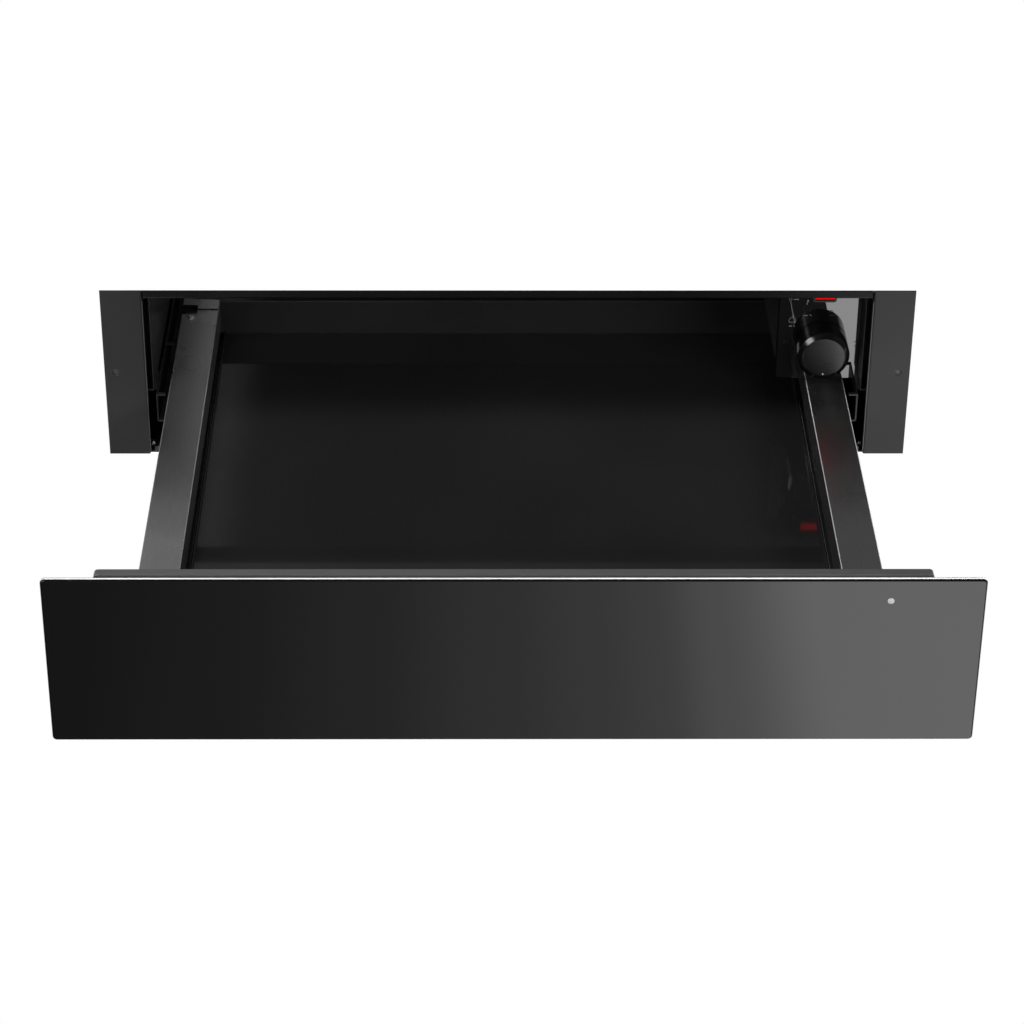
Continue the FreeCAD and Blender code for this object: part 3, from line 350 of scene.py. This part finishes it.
def bevelled_plate(
    name, low, high, corner, bevel, axis, body, materials, replaced=(), steps=3,
    side_material=0, bevel_material=0,
):
    """A plate with rounded corners in plan and rounded edges, normal to an axis (y or z)."""
    if axis == "y":
        u0, u1, v0, v1, w0, w1 = low.x, high.x, low.z, high.z, low.y, high.y
    else:
        u0, u1, v0, v1, w0, w1 = low.x, high.x, low.y, high.y, high.z, low.z
    inward = 1 if w1 > w0 else -1
    work = bmesh.new()
    grid, kinds = [], []

    def add_ring(inset, w, kind):
        radius = max(corner - inset, LEAST_CORNER)
        outline = rounded_outline(u0 + inset, u1 - inset, v0 + inset, v1 - inset, radius)
        places = [(u, w, v) if axis == "y" else (u, v, w) for u, v in outline]
        grid.append([work.verts.new(place) for place in places])
        kinds.append(kind)

    turns = [math.radians(90 * k / steps) for k in range(steps + 1)]
    for a in turns:
        add_ring(bevel * (1 - math.sin(a)), w0 + inward * bevel * (1 - math.cos(a)), bevel_material)
    for step, a in enumerate(turns):
        kind = bevel_material if step else side_material
        add_ring(bevel * (1 - math.cos(a)), w1 - inward * bevel * (1 - math.sin(a)), kind)
    for a, b, kind in zip(grid, grid[1:], kinds[1:]):
        for i in range(len(a)):
            j = (i + 1) % len(a)
            work.faces.new((a[i], a[j], b[j], b[i])).material_index = kind
    work.faces.new(grid[0])
    work.faces.new(grid[-1])
    return smooth(new_piece(name, work, body, materials, replaced))


def rounded_path(corners, radii, steps=5):
    """Points along a path with rounded bends, and the stretch that each one starts.

    The stretches count up along the path: straights are even and the bends between them odd.
    """
    out = [(Vector(corners[0]), 0)]
    for i, radius in enumerate(radii, 1):
        here = Vector(corners[i])
        back = (Vector(corners[i - 1]) - here).normalized()
        ahead = (Vector(corners[i + 1]) - here).normalized()
        half = back.angle(ahead) / 2
        centre = here + (back + ahead).normalized() * (radius / math.sin(half))
        start = here + back * (radius / math.tan(half)) - centre
        end = here + ahead * (radius / math.tan(half)) - centre
        first = math.atan2(start.y, start.x)
        turn = (math.atan2(end.y, end.x) - first + math.pi) % (2 * math.pi) - math.pi
        for k in range(steps + 1):
            a = first + turn * k / steps
            stretch = 2 * i if k == steps else 2 * i - 1
            out.append((centre + Vector((math.cos(a), math.sin(a))) * radius, stretch))
    out.append((Vector(corners[-1]), 2 * len(corners)))
    return out


def sheet_ring(corners, radii, thickness):
    """The outline of a folded sheet that lies to the right of its path."""
    near = rounded_path(corners, radii)
    far = []
    for i, (point, stretch) in enumerate(near):
        along = Vector((0, 0))
        if i:
            along += (point - near[i - 1][0]).normalized()
        if i + 1 < len(near):
            along += (near[i + 1][0] - point).normalized()
        along.normalize()
        far.append((point + Vector((along.y, -along.x)) * thickness, near[i - 1][1] if i else stretch))
    return near + far[::-1]


def extrude_ring(work, ring, start, end, material_of, side=1):
    """Draw an outline in the X Z plane out along Y."""
    rows = []
    for y in (start, end):
        rows.append([work.verts.new((side * p.x, y, p.y)) for p, _ in ring])
    for i, (_, stretch) in enumerate(ring):
        j = (i + 1) % len(ring)
        face = work.faces.new((rows[0][i], rows[0][j], rows[1][j], rows[1][i]))
        face.material_index = material_of(stretch)
    for row in rows:
        work.faces.new(row)


def lathe(name, front, profile, body, materials, replaced=(), segments=96, angle=30):
    """Turn a profile of (radius, depth) pairs about the axis that runs back from a front centre."""
    work = bmesh.new()
    along = Vector((0, 1, 0))
    side = along.orthogonal().normalized()
    other = along.cross(side)
    grid = []
    for radius, depth in profile:
        ring = []
        for k in range(segments):
            a = 2 * math.pi * k / segments
            spoke = side * math.cos(a) + other * math.sin(a)
            ring.append(work.verts.new(Vector(front) + along * depth + spoke * radius))
        grid.append(ring)
    for a, b in zip(grid, grid[1:]):
        for i in range(segments):
            j = (i + 1) % segments
            work.faces.new((a[i], a[j], b[j], b[i]))
    work.faces.new(grid[0])
    work.faces.new(grid[-1])
    return smooth(new_piece(name, work, body, materials, replaced), angle)


# Glass front, its lens and the glass base

ON_AXIS = 0.01 * MM
GLASS_CORNER = 3 * MM
GLASS_BEVEL = 1.2 * MM
GLASS_DROP = Vector((0, 0, 1.1 * MM))
LENS_RADIUS = 2.2 * MM
LENS_DOME = 0.15 * MM
LENS_DEPTH = 3 * MM
BASE_GLASS_HALF = 222.4 * MM
BASE_CORNER = 8 * MM
BASE_BEVEL = 0.7 * MM


def front_glass():
    """The black glass of the front: gloss face and rim, ground side edges."""
    bevelled_plate(
        "glass_front", glass_low - GLASS_DROP, glass_high - GLASS_DROP, GLASS_CORNER, GLASS_BEVEL, "y",
        "drawer", [front_black, glass_edge, glass_rim], ["front_glass"],
        side_material=1, bevel_material=2,
    )


def lens_dot():
    """The frosted end of the light pipe in the glass."""
    centre = (lens_low + lens_high) / 2
    profile = [
        (ON_AXIS, -LENS_DOME), (LENS_RADIUS * 0.6, -LENS_DOME * 0.9), (LENS_RADIUS * 0.9, -LENS_DOME * 0.5),
        (LENS_RADIUS, 0), (LENS_RADIUS, LENS_DEPTH),
    ]
    lathe(
        "lens_face", (centre.x, glass_low.y, centre.z), profile, "drawer",
        [clear_lens], ["indicator_lens"], segments=32,
    )


def glass_base():
    """The black glass of the base, with a ground bevel along its edges."""
    reach = Vector((BASE_GLASS_HALF - base_high.x, 0, 0))
    bevelled_plate(
        "glass_base", base_low - reach, base_high + reach, BASE_CORNER, BASE_BEVEL, "z",
        "drawer", [base_black, base_edge], ["base_glass"], steps=2, bevel_material=1,
    )


# Side rails of the drawer

RAIL_SHEET = 0.9 * MM
STEP_HIGH = 25.5 * MM
STEP_LOW = 22.5 * MM
STEP_IN = 1.6 * MM
RAIL_LIP = 3.5 * MM
RAIL_WIDTH = 28.0 * MM
JOGGLE_BENDS = [0.4 * MM, 0.7 * MM]
TOP_BEND = 0.6 * MM
NOTCH_WIDTH = 11.7 * MM
NOTCH_LENGTH = 20.0 * MM


def rail_corners(outer):
    """The rail's section, from its foot over the joggle and the top to the outer edge."""
    top, foot = rail_high.z, rail_low.z
    inner = rail_high.x - RAIL_WIDTH
    leg = inner + STEP_IN
    return [(leg, foot), (leg, STEP_LOW), (inner, STEP_HIGH), (inner, top), (outer, top)]


def rail_material(stretch):
    """Painted highlight on the bends, a brushed top and an inner wall darkened with painted shade, by the
    stretch of the section.
    """
    upper_joggle_bend, inner_top_bend, outer_top_bend = 3, 5, 7
    if stretch in (upper_joggle_bend, inner_top_bend, outer_top_bend):
        return 1
    return 2 if stretch < inner_top_bend else 0


def rails():
    """Both side rails: a folded section that loses its lip and outer part at the rear notch."""
    bends = JOGGLE_BENDS + [TOP_BEND]
    notch = rail_high.y - NOTCH_LENGTH
    lipped = rail_corners(rail_high.x) + [(rail_high.x, rail_high.z - RAIL_LIP)]
    front_ring = sheet_ring(lipped, bends + [TOP_BEND], RAIL_SHEET)
    rear_ring = sheet_ring(rail_corners(rail_high.x - NOTCH_WIDTH), bends, RAIL_SHEET)
    # The right rail's bends take the stronger painted highlight and the left rail's the dimmer one.
    for side, name, edge in ((1, "right_rail", painted_highlight_edge), (-1, "left_rail", dim_painted_highlight_edge)):
        work = bmesh.new()
        extrude_ring(work, front_ring, rail_low.y, notch, rail_material, side)
        extrude_ring(work, rear_ring, notch, rail_high.y, rail_material, side)
        materials = [rail_steel, edge, rail_wall_painted_shade]
        smooth(new_piece(name + "_skin", work, "drawer", materials, [name]))


# Knob

KNOB_FACE = 15.9 * MM
KNOB_CHAMFER = 2.4 * MM
KNOB_SOFTENING = 0.35 * MM
KNOB_RECESS = 0.5 * MM
KNOB_WALL = 2 * MM
KNOB_HOLLOW = 6 * MM
FACE_GAP = 0.4 * MM
FACE_DEPTH = 0.02 * MM
POINTER_HALF = 0.22 * MM
POINTER_INNER = 7.4 * MM
POINTER_OUTER = 12.2 * MM
DOT_DROP = 14.0 * MM
DOT_RADIUS = 0.5 * MM


def knob_axis():
    """The middle of the knob, by its CAD node."""
    return (knob_low + knob_high) / 2


def knob_skin(front):
    """The gloss black body, from the recess of its face over the chamfer to its hollow back."""
    radius = (knob_high.x - knob_low.x) / 2
    length = knob_high.y - knob_low.y
    soft = KNOB_SOFTENING
    profile = [
        (KNOB_FACE - 1.2 * MM, KNOB_RECESS),
        (KNOB_FACE - soft, KNOB_RECESS),
        (KNOB_FACE - 0.2 * MM, 0.08 * MM),
        (KNOB_FACE, 0.0),
        (KNOB_FACE + 0.2 * MM, 0.1 * MM),
        (radius - soft * 1.2, KNOB_CHAMFER - soft),
        (radius - soft * 0.4, KNOB_CHAMFER - soft * 0.3),
        (radius, KNOB_CHAMFER + soft * 0.6),
        (radius, length - 0.8 * MM),
        (radius - 0.25 * MM, length - 0.2 * MM),
        (radius - 0.8 * MM, length),
        (radius - KNOB_WALL, length),
        (radius - KNOB_WALL, length - KNOB_HOLLOW),
    ]
    lathe("knob_skin", front, profile, "knob", [knob_black], ["knob_body"], angle=20)


def knob_face(front):
    """The brushed metal disc in the knob's front."""
    face = KNOB_FACE - FACE_GAP
    profile = [
        (ON_AXIS, FACE_DEPTH), (face * 0.5, FACE_DEPTH), (face - 0.3 * MM, FACE_DEPTH),
        (face - 0.1 * MM, 0.08 * MM), (face, 0.2 * MM), (face, 1.0 * MM),
    ]
    lathe("knob_face", front, profile, "knob", [knob_metal], ["knob_cap"], angle=20)


def knob_pointer(front):
    """The groove, black with painted shade, and the white dot that point down from the knob's axis."""
    x, y, z = front
    inner, outer = z - POINTER_INNER, z - POINTER_OUTER
    left, right = x - POINTER_HALF, x + POINTER_HALF
    groove = bmesh.new()
    outline = [(left, outer), (right, outer), (right, inner), (left, inner)]
    extrude_marks(groove, [outline], y - 0.02 * MM, y + 0.1 * MM)
    new_piece("knob_groove", groove, "knob", [black_and_painted_shade])
    dot = bmesh.new()
    extrude_marks(dot, [circle(x, z - DOT_DROP, DOT_RADIUS, 16)], y - 0.05 * MM, y + 0.1 * MM)
    new_piece("knob_dot", dot, "knob", [white_dot])


def knob():
    """The turned knob with its face and pointer."""
    axis = knob_axis()
    front = (axis.x, knob_low.y, axis.z)
    knob_skin(front)
    knob_face(front)
    knob_pointer(front)


# Printed marks of the control panel, in millimetres from the knob's axis

BOLD = 0.8
STRONG = 0.7
FIRM = 0.6
CUP_RIM = 0.5
NORMAL = 0.42
FINE = 0.3
HAIR = 0.14
STAR_REACH = 2.0
PRINT_THICKNESS = 0.04 * MM


def circle(u, v, radius, count=24):
    """Points around a circle."""
    turns = [2 * math.pi * k / count for k in range(count)]
    return [(u + radius * math.cos(t), v + radius * math.sin(t)) for t in turns]


def arc(u, v, radius, start, end, count=12):
    """Points along an arc between two angles in degrees."""
    turns = [math.radians(start + (end - start) * k / count) for k in range(count + 1)]
    return [(u + radius * math.cos(t), v + radius * math.sin(t)) for t in turns]


def on_panel(points):
    """Points in millimetres from the knob's axis, as places on the panel."""
    axis = knob_axis()
    return [(axis.x + u * MM, axis.z + v * MM) for u, v in points]


def stroke(points, width, closed=False):
    """Quads that follow a line at an even width, both in millimetres."""
    path = [Vector(p) for p in on_panel(points)]
    if closed:
        path.append(path[0])
    quads = []
    for a, b in zip(path, path[1:]):
        along = (b - a).normalized() * (width * MM / 2)
        side = Vector((-along.y, along.x))
        start, end = a - along * 0.5, b + along * 0.5
        quads.append([start - side, end - side, end + side, start + side])
    return quads


def extrude_marks(work, outlines, front, back):
    """Raise flat outlines in the X Z plane between two depths."""
    for outline in outlines:
        rows = [[work.verts.new((p[0], y, p[1])) for p in outline] for y in (front, back)]
        for row in rows:
            work.faces.new(row)
        for i in range(len(outline)):
            j = (i + 1) % len(outline)
            work.faces.new((rows[0][i], rows[0][j], rows[1][j], rows[1][i]))


def bright_marks():
    """Ring and dash under the rocker switch, covered pot, drinking glass and cup."""
    ring_and_dash = stroke(circle(-24.6, 37.4, 1.1, 14), NORMAL, True)
    ring_and_dash += stroke([(-21.8, 37.3), (-18.8, 37.3)], STRONG)
    pot = stroke(arc(-22.4, 19.6, 2.5, -20, 200), FIRM)
    pot += stroke([(-24.8, 18.0), (-20.0, 18.0)], FIRM)
    pot += [on_panel(circle(-22.4, 22.6, 0.5, 10))]
    pot += stroke([(-24.6, 14.8), (-22.6, 14.8)], BOLD)
    pot += stroke([(-21.4, 15.3), (-20.4, 14.5)], FIRM)
    glass = [on_panel(circle(-11.7, 36.2, 0.7, 12))]
    glass += stroke([(-11.8, 35.4), (-12.2, 33.0)], FIRM)
    glass += stroke([(-14.0, 23.8), (-11.6, 23.8)], BOLD)
    glass += stroke([(-9.6, 24.5), (-8.6, 23.4)], FIRM)
    cup = stroke([(24.4, 1.6), (27.6, 1.6)], CUP_RIM)
    cup += stroke([(26.0, 1.6), (26.0, 0.2)], NORMAL)
    return ring_and_dash + pot + glass + cup


def faint_marks():
    """Hairline beside the marks, bowl of the glass, plate, star over its arc, arc under the cup."""
    hairline = stroke([(-24.8, 35.8), (-23.4, 29.0), (-22.6, 23.4)], HAIR)
    bowl = stroke(arc(-11.9, 29.4, 2.8, 110, 240), FINE)
    bowl += stroke(arc(-11.9, 29.4, 2.8, -60, 70), FINE)
    plate = stroke(arc(6.0, 26.6, 1.4, 0, 180), NORMAL)
    plate += stroke([(5.2, 24.0), (7.4, 24.0)], STRONG)
    plate += stroke([(8.8, 24.8), (9.8, 23.8)], FIRM)
    star = []
    for turn in (90, 30, 150):
        dx = STAR_REACH * math.cos(math.radians(turn))
        dz = STAR_REACH * math.sin(math.radians(turn))
        star += stroke([(-26.6 - dx, 1.6 - dz), (-26.6 + dx, 1.6 + dz)], NORMAL)
    star += stroke(arc(-26.8, -1.6, 1.3, 180, 360), NORMAL)
    cup_arc = stroke(arc(26.0, -1.4, 1.1, 180, 360), NORMAL)
    return hairline + bowl + plate + star + cup_arc


def panel_marks():
    """All printed marks, as one white and one faint piece."""
    for name, outlines, material in (
        ("panel_marks", bright_marks(), print_white),
        ("panel_faint_marks", faint_marks(), print_grey),
    ):
        work = bmesh.new()
        extrude_marks(work, outlines, panel_low.y - PRINT_THICKNESS, panel_low.y)
        new_piece(name, work, "housing", [material])


# Back wall of the drawer, edges of the flanges and the edge of the control panel

EAR_OVERLAP = 0.5 * MM
EDGE_LINE = 0.6 * MM
EDGE_LINE_FOOT = 1 * MM
EDGE_LINE_TOP = 9 * MM
PANEL_STRIP_LEFT = 259.9 * MM


def back_wall():
    """Satin sheet darkened with painted shade. Its ears over the rails are bright rail steel, and their
    front edges are black with painted shade.
    """
    ear = rail_high.x - RAIL_WIDTH - EAR_OVERLAP

    def material_of(centre, normal):
        if abs(centre.x) < ear:
            return 0
        return 2 if normal.y < -0.5 else 1

    materials = [back_wall_painted_shade, rail_steel, black_and_painted_shade]
    recoated("back_wall_skin", "back_wall", "drawer", materials, material_of)


def flange_edges():
    """Thin strips of painted highlight along the inner bends of the two fixing flanges."""
    for side, name in ((1, "right"), (-1, "left")):
        inner = side * flange_low.x
        low = Vector((inner - EDGE_LINE / 2, FRONT - 0.05 * MM, flange_low.z + EDGE_LINE_FOOT))
        high = Vector((inner + EDGE_LINE / 2, FRONT + 0.6 * MM, flange_high.z - EDGE_LINE_TOP))
        bevelled_plate(
            name + "_flange_edge", low, high, 0.2 * MM, 0.1 * MM, "y", "housing",
            [painted_edge_highlight], steps=1,
        )


def panel_strip():
    """The matt strip along the panel's right edge."""
    low = Vector((PANEL_STRIP_LEFT, panel_low.y - 0.06 * MM, panel_low.z))
    high = Vector((panel_high.x, panel_low.y + 0.5 * MM, panel_high.z))
    bevelled_plate(
        "panel_strip", low, high, 0.4 * MM, 0.03 * MM, "y", "housing",
        [black_and_painted_shade], steps=1,
    )


front_glass()
lens_dot()
glass_base()
rails()
back_wall()
knob()
panel_strip()
panel_marks()
flange_edges()

# Studio. Places are in millimetres, lamp sizes and the far clip in metres.

PITCH = math.radians(30.3)
TURN = math.radians(0.57)
ROLL = math.radians(0.29)
LENS = 106.95
SENSOR = 36
SHIFT = (0.0164, -0.108)
CAMERA_PLACE = at(-28.43, -1948.54, 1183.95)
FAR_CLIP = 50


def camera():
    """The camera fitted to the photograph, turned and rolled a little about its view axis."""
    ahead = Vector((math.sin(TURN) * math.cos(PITCH), math.cos(TURN) * math.cos(PITCH), -math.sin(PITCH)))
    level_right = Vector((math.cos(TURN), -math.sin(TURN), 0))
    level_up = level_right.cross(ahead)
    right = level_right * math.cos(ROLL) + level_up * math.sin(ROLL)
    up = level_up * math.cos(ROLL) - level_right * math.sin(ROLL)
    data = bpy.data.cameras.new("camera")
    data.sensor_width = SENSOR
    data.lens = LENS
    data.shift_x, data.shift_y = SHIFT
    data.clip_end = FAR_CLIP
    eye = bpy.data.objects.new("camera", data)
    place = Matrix((right, up, -ahead)).transposed().to_4x4()
    place.translation = CAMERA_PLACE
    eye.matrix_world = place
    bpy.context.scene.collection.objects.link(eye)
    bpy.context.scene.camera = eye


def stage_piece(name, work, material):
    """Turn a bmesh into a thing of the studio that belongs to no body."""
    mesh = bpy.data.meshes.new(name)
    work.to_mesh(mesh)
    work.free()
    mesh.materials.append(material)
    piece = bpy.data.objects.new(name, mesh)
    bpy.context.scene.collection.objects.link(piece)
    return piece


def stage_plane(name, corners, material):
    """A flat plane of the studio."""
    work = bmesh.new()
    work.faces.new([work.verts.new(c) for c in corners])
    return stage_piece(name, work, material)


def white_floor_material():
    """White paper that takes the shadow and shows as white to the camera and in reflections."""
    m = Nodes("white_paper")
    m.shader.inputs["Base Color"].default_value = (0.85, 0.85, 0.85, 1)
    m.shader.inputs["Roughness"].default_value = 0.9
    m.shader.inputs["Specular IOR Level"].default_value = 0.0
    path = m.add("ShaderNodeLightPath")
    seen = m.add("ShaderNodeMath", operation="MAXIMUM")
    m.link(path.outputs["Is Camera Ray"], seen.inputs[0])
    m.link(path.outputs["Is Glossy Ray"], seen.inputs[1])
    also = m.add("ShaderNodeMath", operation="MAXIMUM")
    m.link(seen.outputs[0], also.inputs[0])
    m.link(path.outputs["Is Transmission Ray"], also.inputs[1])
    m.shader.inputs["Emission Color"].default_value = (1, 1, 1, 1)
    m.link(also.outputs[0], m.shader.inputs["Emission Strength"])
    return m.material


def furniture_front_material():
    """The white cabinet front: seen from the front only, and out of the way of all light."""
    m = Nodes("cabinet_front")
    path = m.add("ShaderNodeLightPath")
    geometry = m.add("ShaderNodeNewGeometry")
    front = m.add("ShaderNodeMath", operation="SUBTRACT")
    m.link(path.outputs["Is Camera Ray"], front.inputs[0])
    m.link(geometry.outputs["Backfacing"], front.inputs[1])
    clear = m.add("ShaderNodeBsdfTransparent")
    white = m.add("ShaderNodeEmission", Strength=1.0)
    mix = m.add("ShaderNodeMixShader")
    m.link(front.outputs[0], mix.inputs["Fac"])
    m.link(clear.outputs[0], mix.inputs[1])
    m.link(white.outputs[0], mix.inputs[2])
    m.link(mix.outputs[0], m.output.inputs["Surface"])
    return m.material


def card_material(name, stops, half):
    """A lit card of a given half width whose light changes from left to right.

    stops are (share of the width, light) pairs.
    """
    m = Nodes(name)
    coordinates = m.add("ShaderNodeTexCoord")
    split = m.add("ShaderNodeSeparateXYZ")
    m.link(coordinates.outputs["Object"], split.inputs[0])
    share = m.add("ShaderNodeMapRange")
    share.inputs["From Min"].default_value = -half * MM
    share.inputs["From Max"].default_value = half * MM
    m.link(split.outputs["X"], share.inputs["Value"])
    ramp = m.add("ShaderNodeValToRGB")
    ramp.color_ramp.interpolation = "EASE"
    elements = ramp.color_ramp.elements
    while len(elements) < len(stops):
        elements.new(0.5)
    top = max(light for _, light in stops)
    for element, (place, light) in zip(elements, stops):
        element.position = place
        element.color = (light / top, light / top, light / top, 1)
    m.link(share.outputs[0], ramp.inputs["Fac"])
    lit = m.add("ShaderNodeEmission", Strength=top)
    m.link(ramp.outputs["Color"], lit.inputs["Color"])
    m.link(lit.outputs[0], m.output.inputs["Surface"])
    return m.material


FLOOR_HALF = 9000
FLOOR_LEVEL = -1000
BOARD_HALF = 1500
BOARD_TOP = 1500
BOARD_FOOT = -990
BOARD_FACE = 1.25
NICHE_HALF = 279.5
NICHE_FOOT = -0.5
NICHE_TOP = 138.0
PILOT_RADIUS = 3.5
PILOT_INSET = 8.5
PILOT_HEIGHT = 70
PILOT_FACE = 1.22
PILOT_BACK = 1.24

LOW_CARD_HALF = 2000
LOW_CARD_LEVEL = -900
LOW_CARD_FRONT = -3500
LOW_CARD_BACK = -700
LOW_CARD_STOPS = [
    (0.0, 0.04), (0.32, 0.045), (0.35, 0.044), (0.374, 0.06), (0.42, 0.1), (0.46, 0.165), (0.502, 0.288),
    (0.531, 0.39), (0.549, 0.485), (0.567, 0.755), (0.602, 1.37), (0.64, 1.43), (1.0, 1.5),
]
UPRIGHT_HALF = 3000
UPRIGHT_TOP = 3500
BACK_CARD_PLACE = 2500
BACK_CARD_FOOT = 200
BACK_CARD_STOPS = [(0.0, 0.34), (0.4, 0.29), (0.5, 0.16), (0.6, 0.08), (1.0, 0.06)]
FRONT_CARD_PLACE = -3500
FRONT_CARD_FOOT = 1400
FRONT_CARD_STOPS = [
    (0.0, 0.16), (0.4, 0.14), (0.5, 0.08), (0.54, 0.04), (0.57, 0.01), (0.6, 0.004), (1.0, 0.002),
]

WORLD_LIGHT = 0.1
CAVITY_SPREAD = math.radians(42)
OPENING = at(0, -100, 60)
BASE_MIDDLE = at(0, -150, 20)
CEILING = at(-232, 190, 200)


def floor():
    """White paper far below the drawer."""
    half, level = FLOOR_HALF, FLOOR_LEVEL
    corners = [
        at(-half, -half, level), at(half, -half, level), at(half, half, level), at(-half, half, level),
    ]
    stage_plane("floor", corners, white_floor_material())


def cabinet_board():
    """The cabinet's front around the niche, which only the camera sees."""
    outer = [
        (-BOARD_HALF, BOARD_FOOT), (BOARD_HALF, BOARD_FOOT),
        (BOARD_HALF, BOARD_TOP), (-BOARD_HALF, BOARD_TOP),
    ]
    inner = [
        (-NICHE_HALF, NICHE_FOOT), (NICHE_HALF, NICHE_FOOT),
        (NICHE_HALF, NICHE_TOP), (-NICHE_HALF, NICHE_TOP),
    ]
    work = bmesh.new()
    a = [work.verts.new(at(u, BOARD_FACE, v)) for u, v in outer]
    b = [work.verts.new(at(u, BOARD_FACE, v)) for u, v in inner]
    for i in range(4):
        j = (i + 1) % 4
        work.faces.new((a[i], a[j], b[j], b[i]))
    board = stage_piece("cabinet_front", work, furniture_front_material())
    board.visible_diffuse = False
    board.visible_glossy = False
    board.visible_transmission = False
    board.visible_shadow = False


def low_card():
    """The card under the drawer that the glass front mirrors."""
    half, level = LOW_CARD_HALF, LOW_CARD_LEVEL
    front, back = LOW_CARD_FRONT, LOW_CARD_BACK
    material = card_material("low_card_light", LOW_CARD_STOPS, half)
    corners = [
        at(-half, front, level), at(half, front, level), at(half, back, level), at(-half, back, level),
    ]
    plane = stage_plane("low_card", corners, material)
    plane.visible_camera = False


def upright_card(name, y, foot, stops):
    """A tall card across the view that shows in reflections only."""
    half, top = UPRIGHT_HALF, UPRIGHT_TOP
    material = card_material(name + "_light", stops, half)
    corners = [at(-half, y, foot), at(half, y, foot), at(half, y, top), at(-half, y, top)]
    plane = stage_plane(name, corners, material)
    plane.visible_camera = False
    plane.visible_diffuse = False


def pilot_holes():
    """Grey discs of painted shade for the cabinet's screw holes, seen through the holes of the flanges."""
    for side in (-1, 1):
        work = bmesh.new()
        x = side * (flange_high.x - PILOT_INSET * MM)
        outline = circle(x, PILOT_HEIGHT * MM, PILOT_RADIUS * MM)
        extrude_marks(work, [outline], at(0, PILOT_FACE, 0).y, at(0, PILOT_BACK, 0).y)
        stage_piece("pilot_hole", work, hole_painted_shade)


def world_light():
    """A dim even light that the camera sees as white."""
    world = bpy.data.worlds.new("world")
    bpy.context.scene.world = world
    world.use_nodes = True
    tree = world.node_tree
    background = tree.nodes["Background"]
    path = tree.nodes.new("ShaderNodeLightPath")
    strength = tree.nodes.new("ShaderNodeMapRange")
    strength.inputs["To Min"].default_value = WORLD_LIGHT
    strength.inputs["To Max"].default_value = 1.0
    tree.links.new(path.outputs["Is Camera Ray"], strength.inputs["Value"])
    tree.links.new(strength.outputs[0], background.inputs["Strength"])
    background.inputs["Color"].default_value = (1, 1, 1, 1)


def lamp(name, place, target, size, power, mirrored=False):
    """A rectangular lamp. Only a mirrored one shows in glass and metal."""
    data = bpy.data.lights.new(name, "AREA")
    data.shape = "RECTANGLE"
    data.size, data.size_y = size
    data.energy = power
    item = bpy.data.objects.new(name, data)
    item.location = place
    item.rotation_euler = (target - place).to_track_quat("-Z", "Y").to_euler()
    item.visible_glossy = mirrored
    bpy.context.scene.collection.objects.link(item)
    return item


def lamps():
    """Soft boxes around the drawer and the light that bounces up to the ceiling sheet."""
    lamp("left_box", at(-887, -1382, 763), OPENING, (0.6, 0.6), 14, mirrored=True)
    lamp("right_box", at(1500, -500, 700), OPENING, (0.8, 0.8), 12)
    lamp("low_front", at(900, -1200, 500), OPENING, (0.8, 0.4), 29)
    lamp("top_box", at(-600, -500, 1900), BASE_MIDDLE, (0.7, 0.7), 34)
    bounce = lamp("cavity_bounce", at(-232, 190, 58), CEILING, (0.03, 0.4), 0.026)
    bounce.data.spread = CAVITY_SPREAD


def studio():
    """Floor, cabinet front with its screw holes, cards and light."""
    floor()
    cabinet_board()
    low_card()
    upright_card("back_card", BACK_CARD_PLACE, BACK_CARD_FOOT, BACK_CARD_STOPS)
    upright_card("front_card", FRONT_CARD_PLACE, FRONT_CARD_FOOT, FRONT_CARD_STOPS)
    pilot_holes()
    world_light()
    lamps()


camera()
studio()
bpy.context.scene.view_settings.view_transform = "Standard"
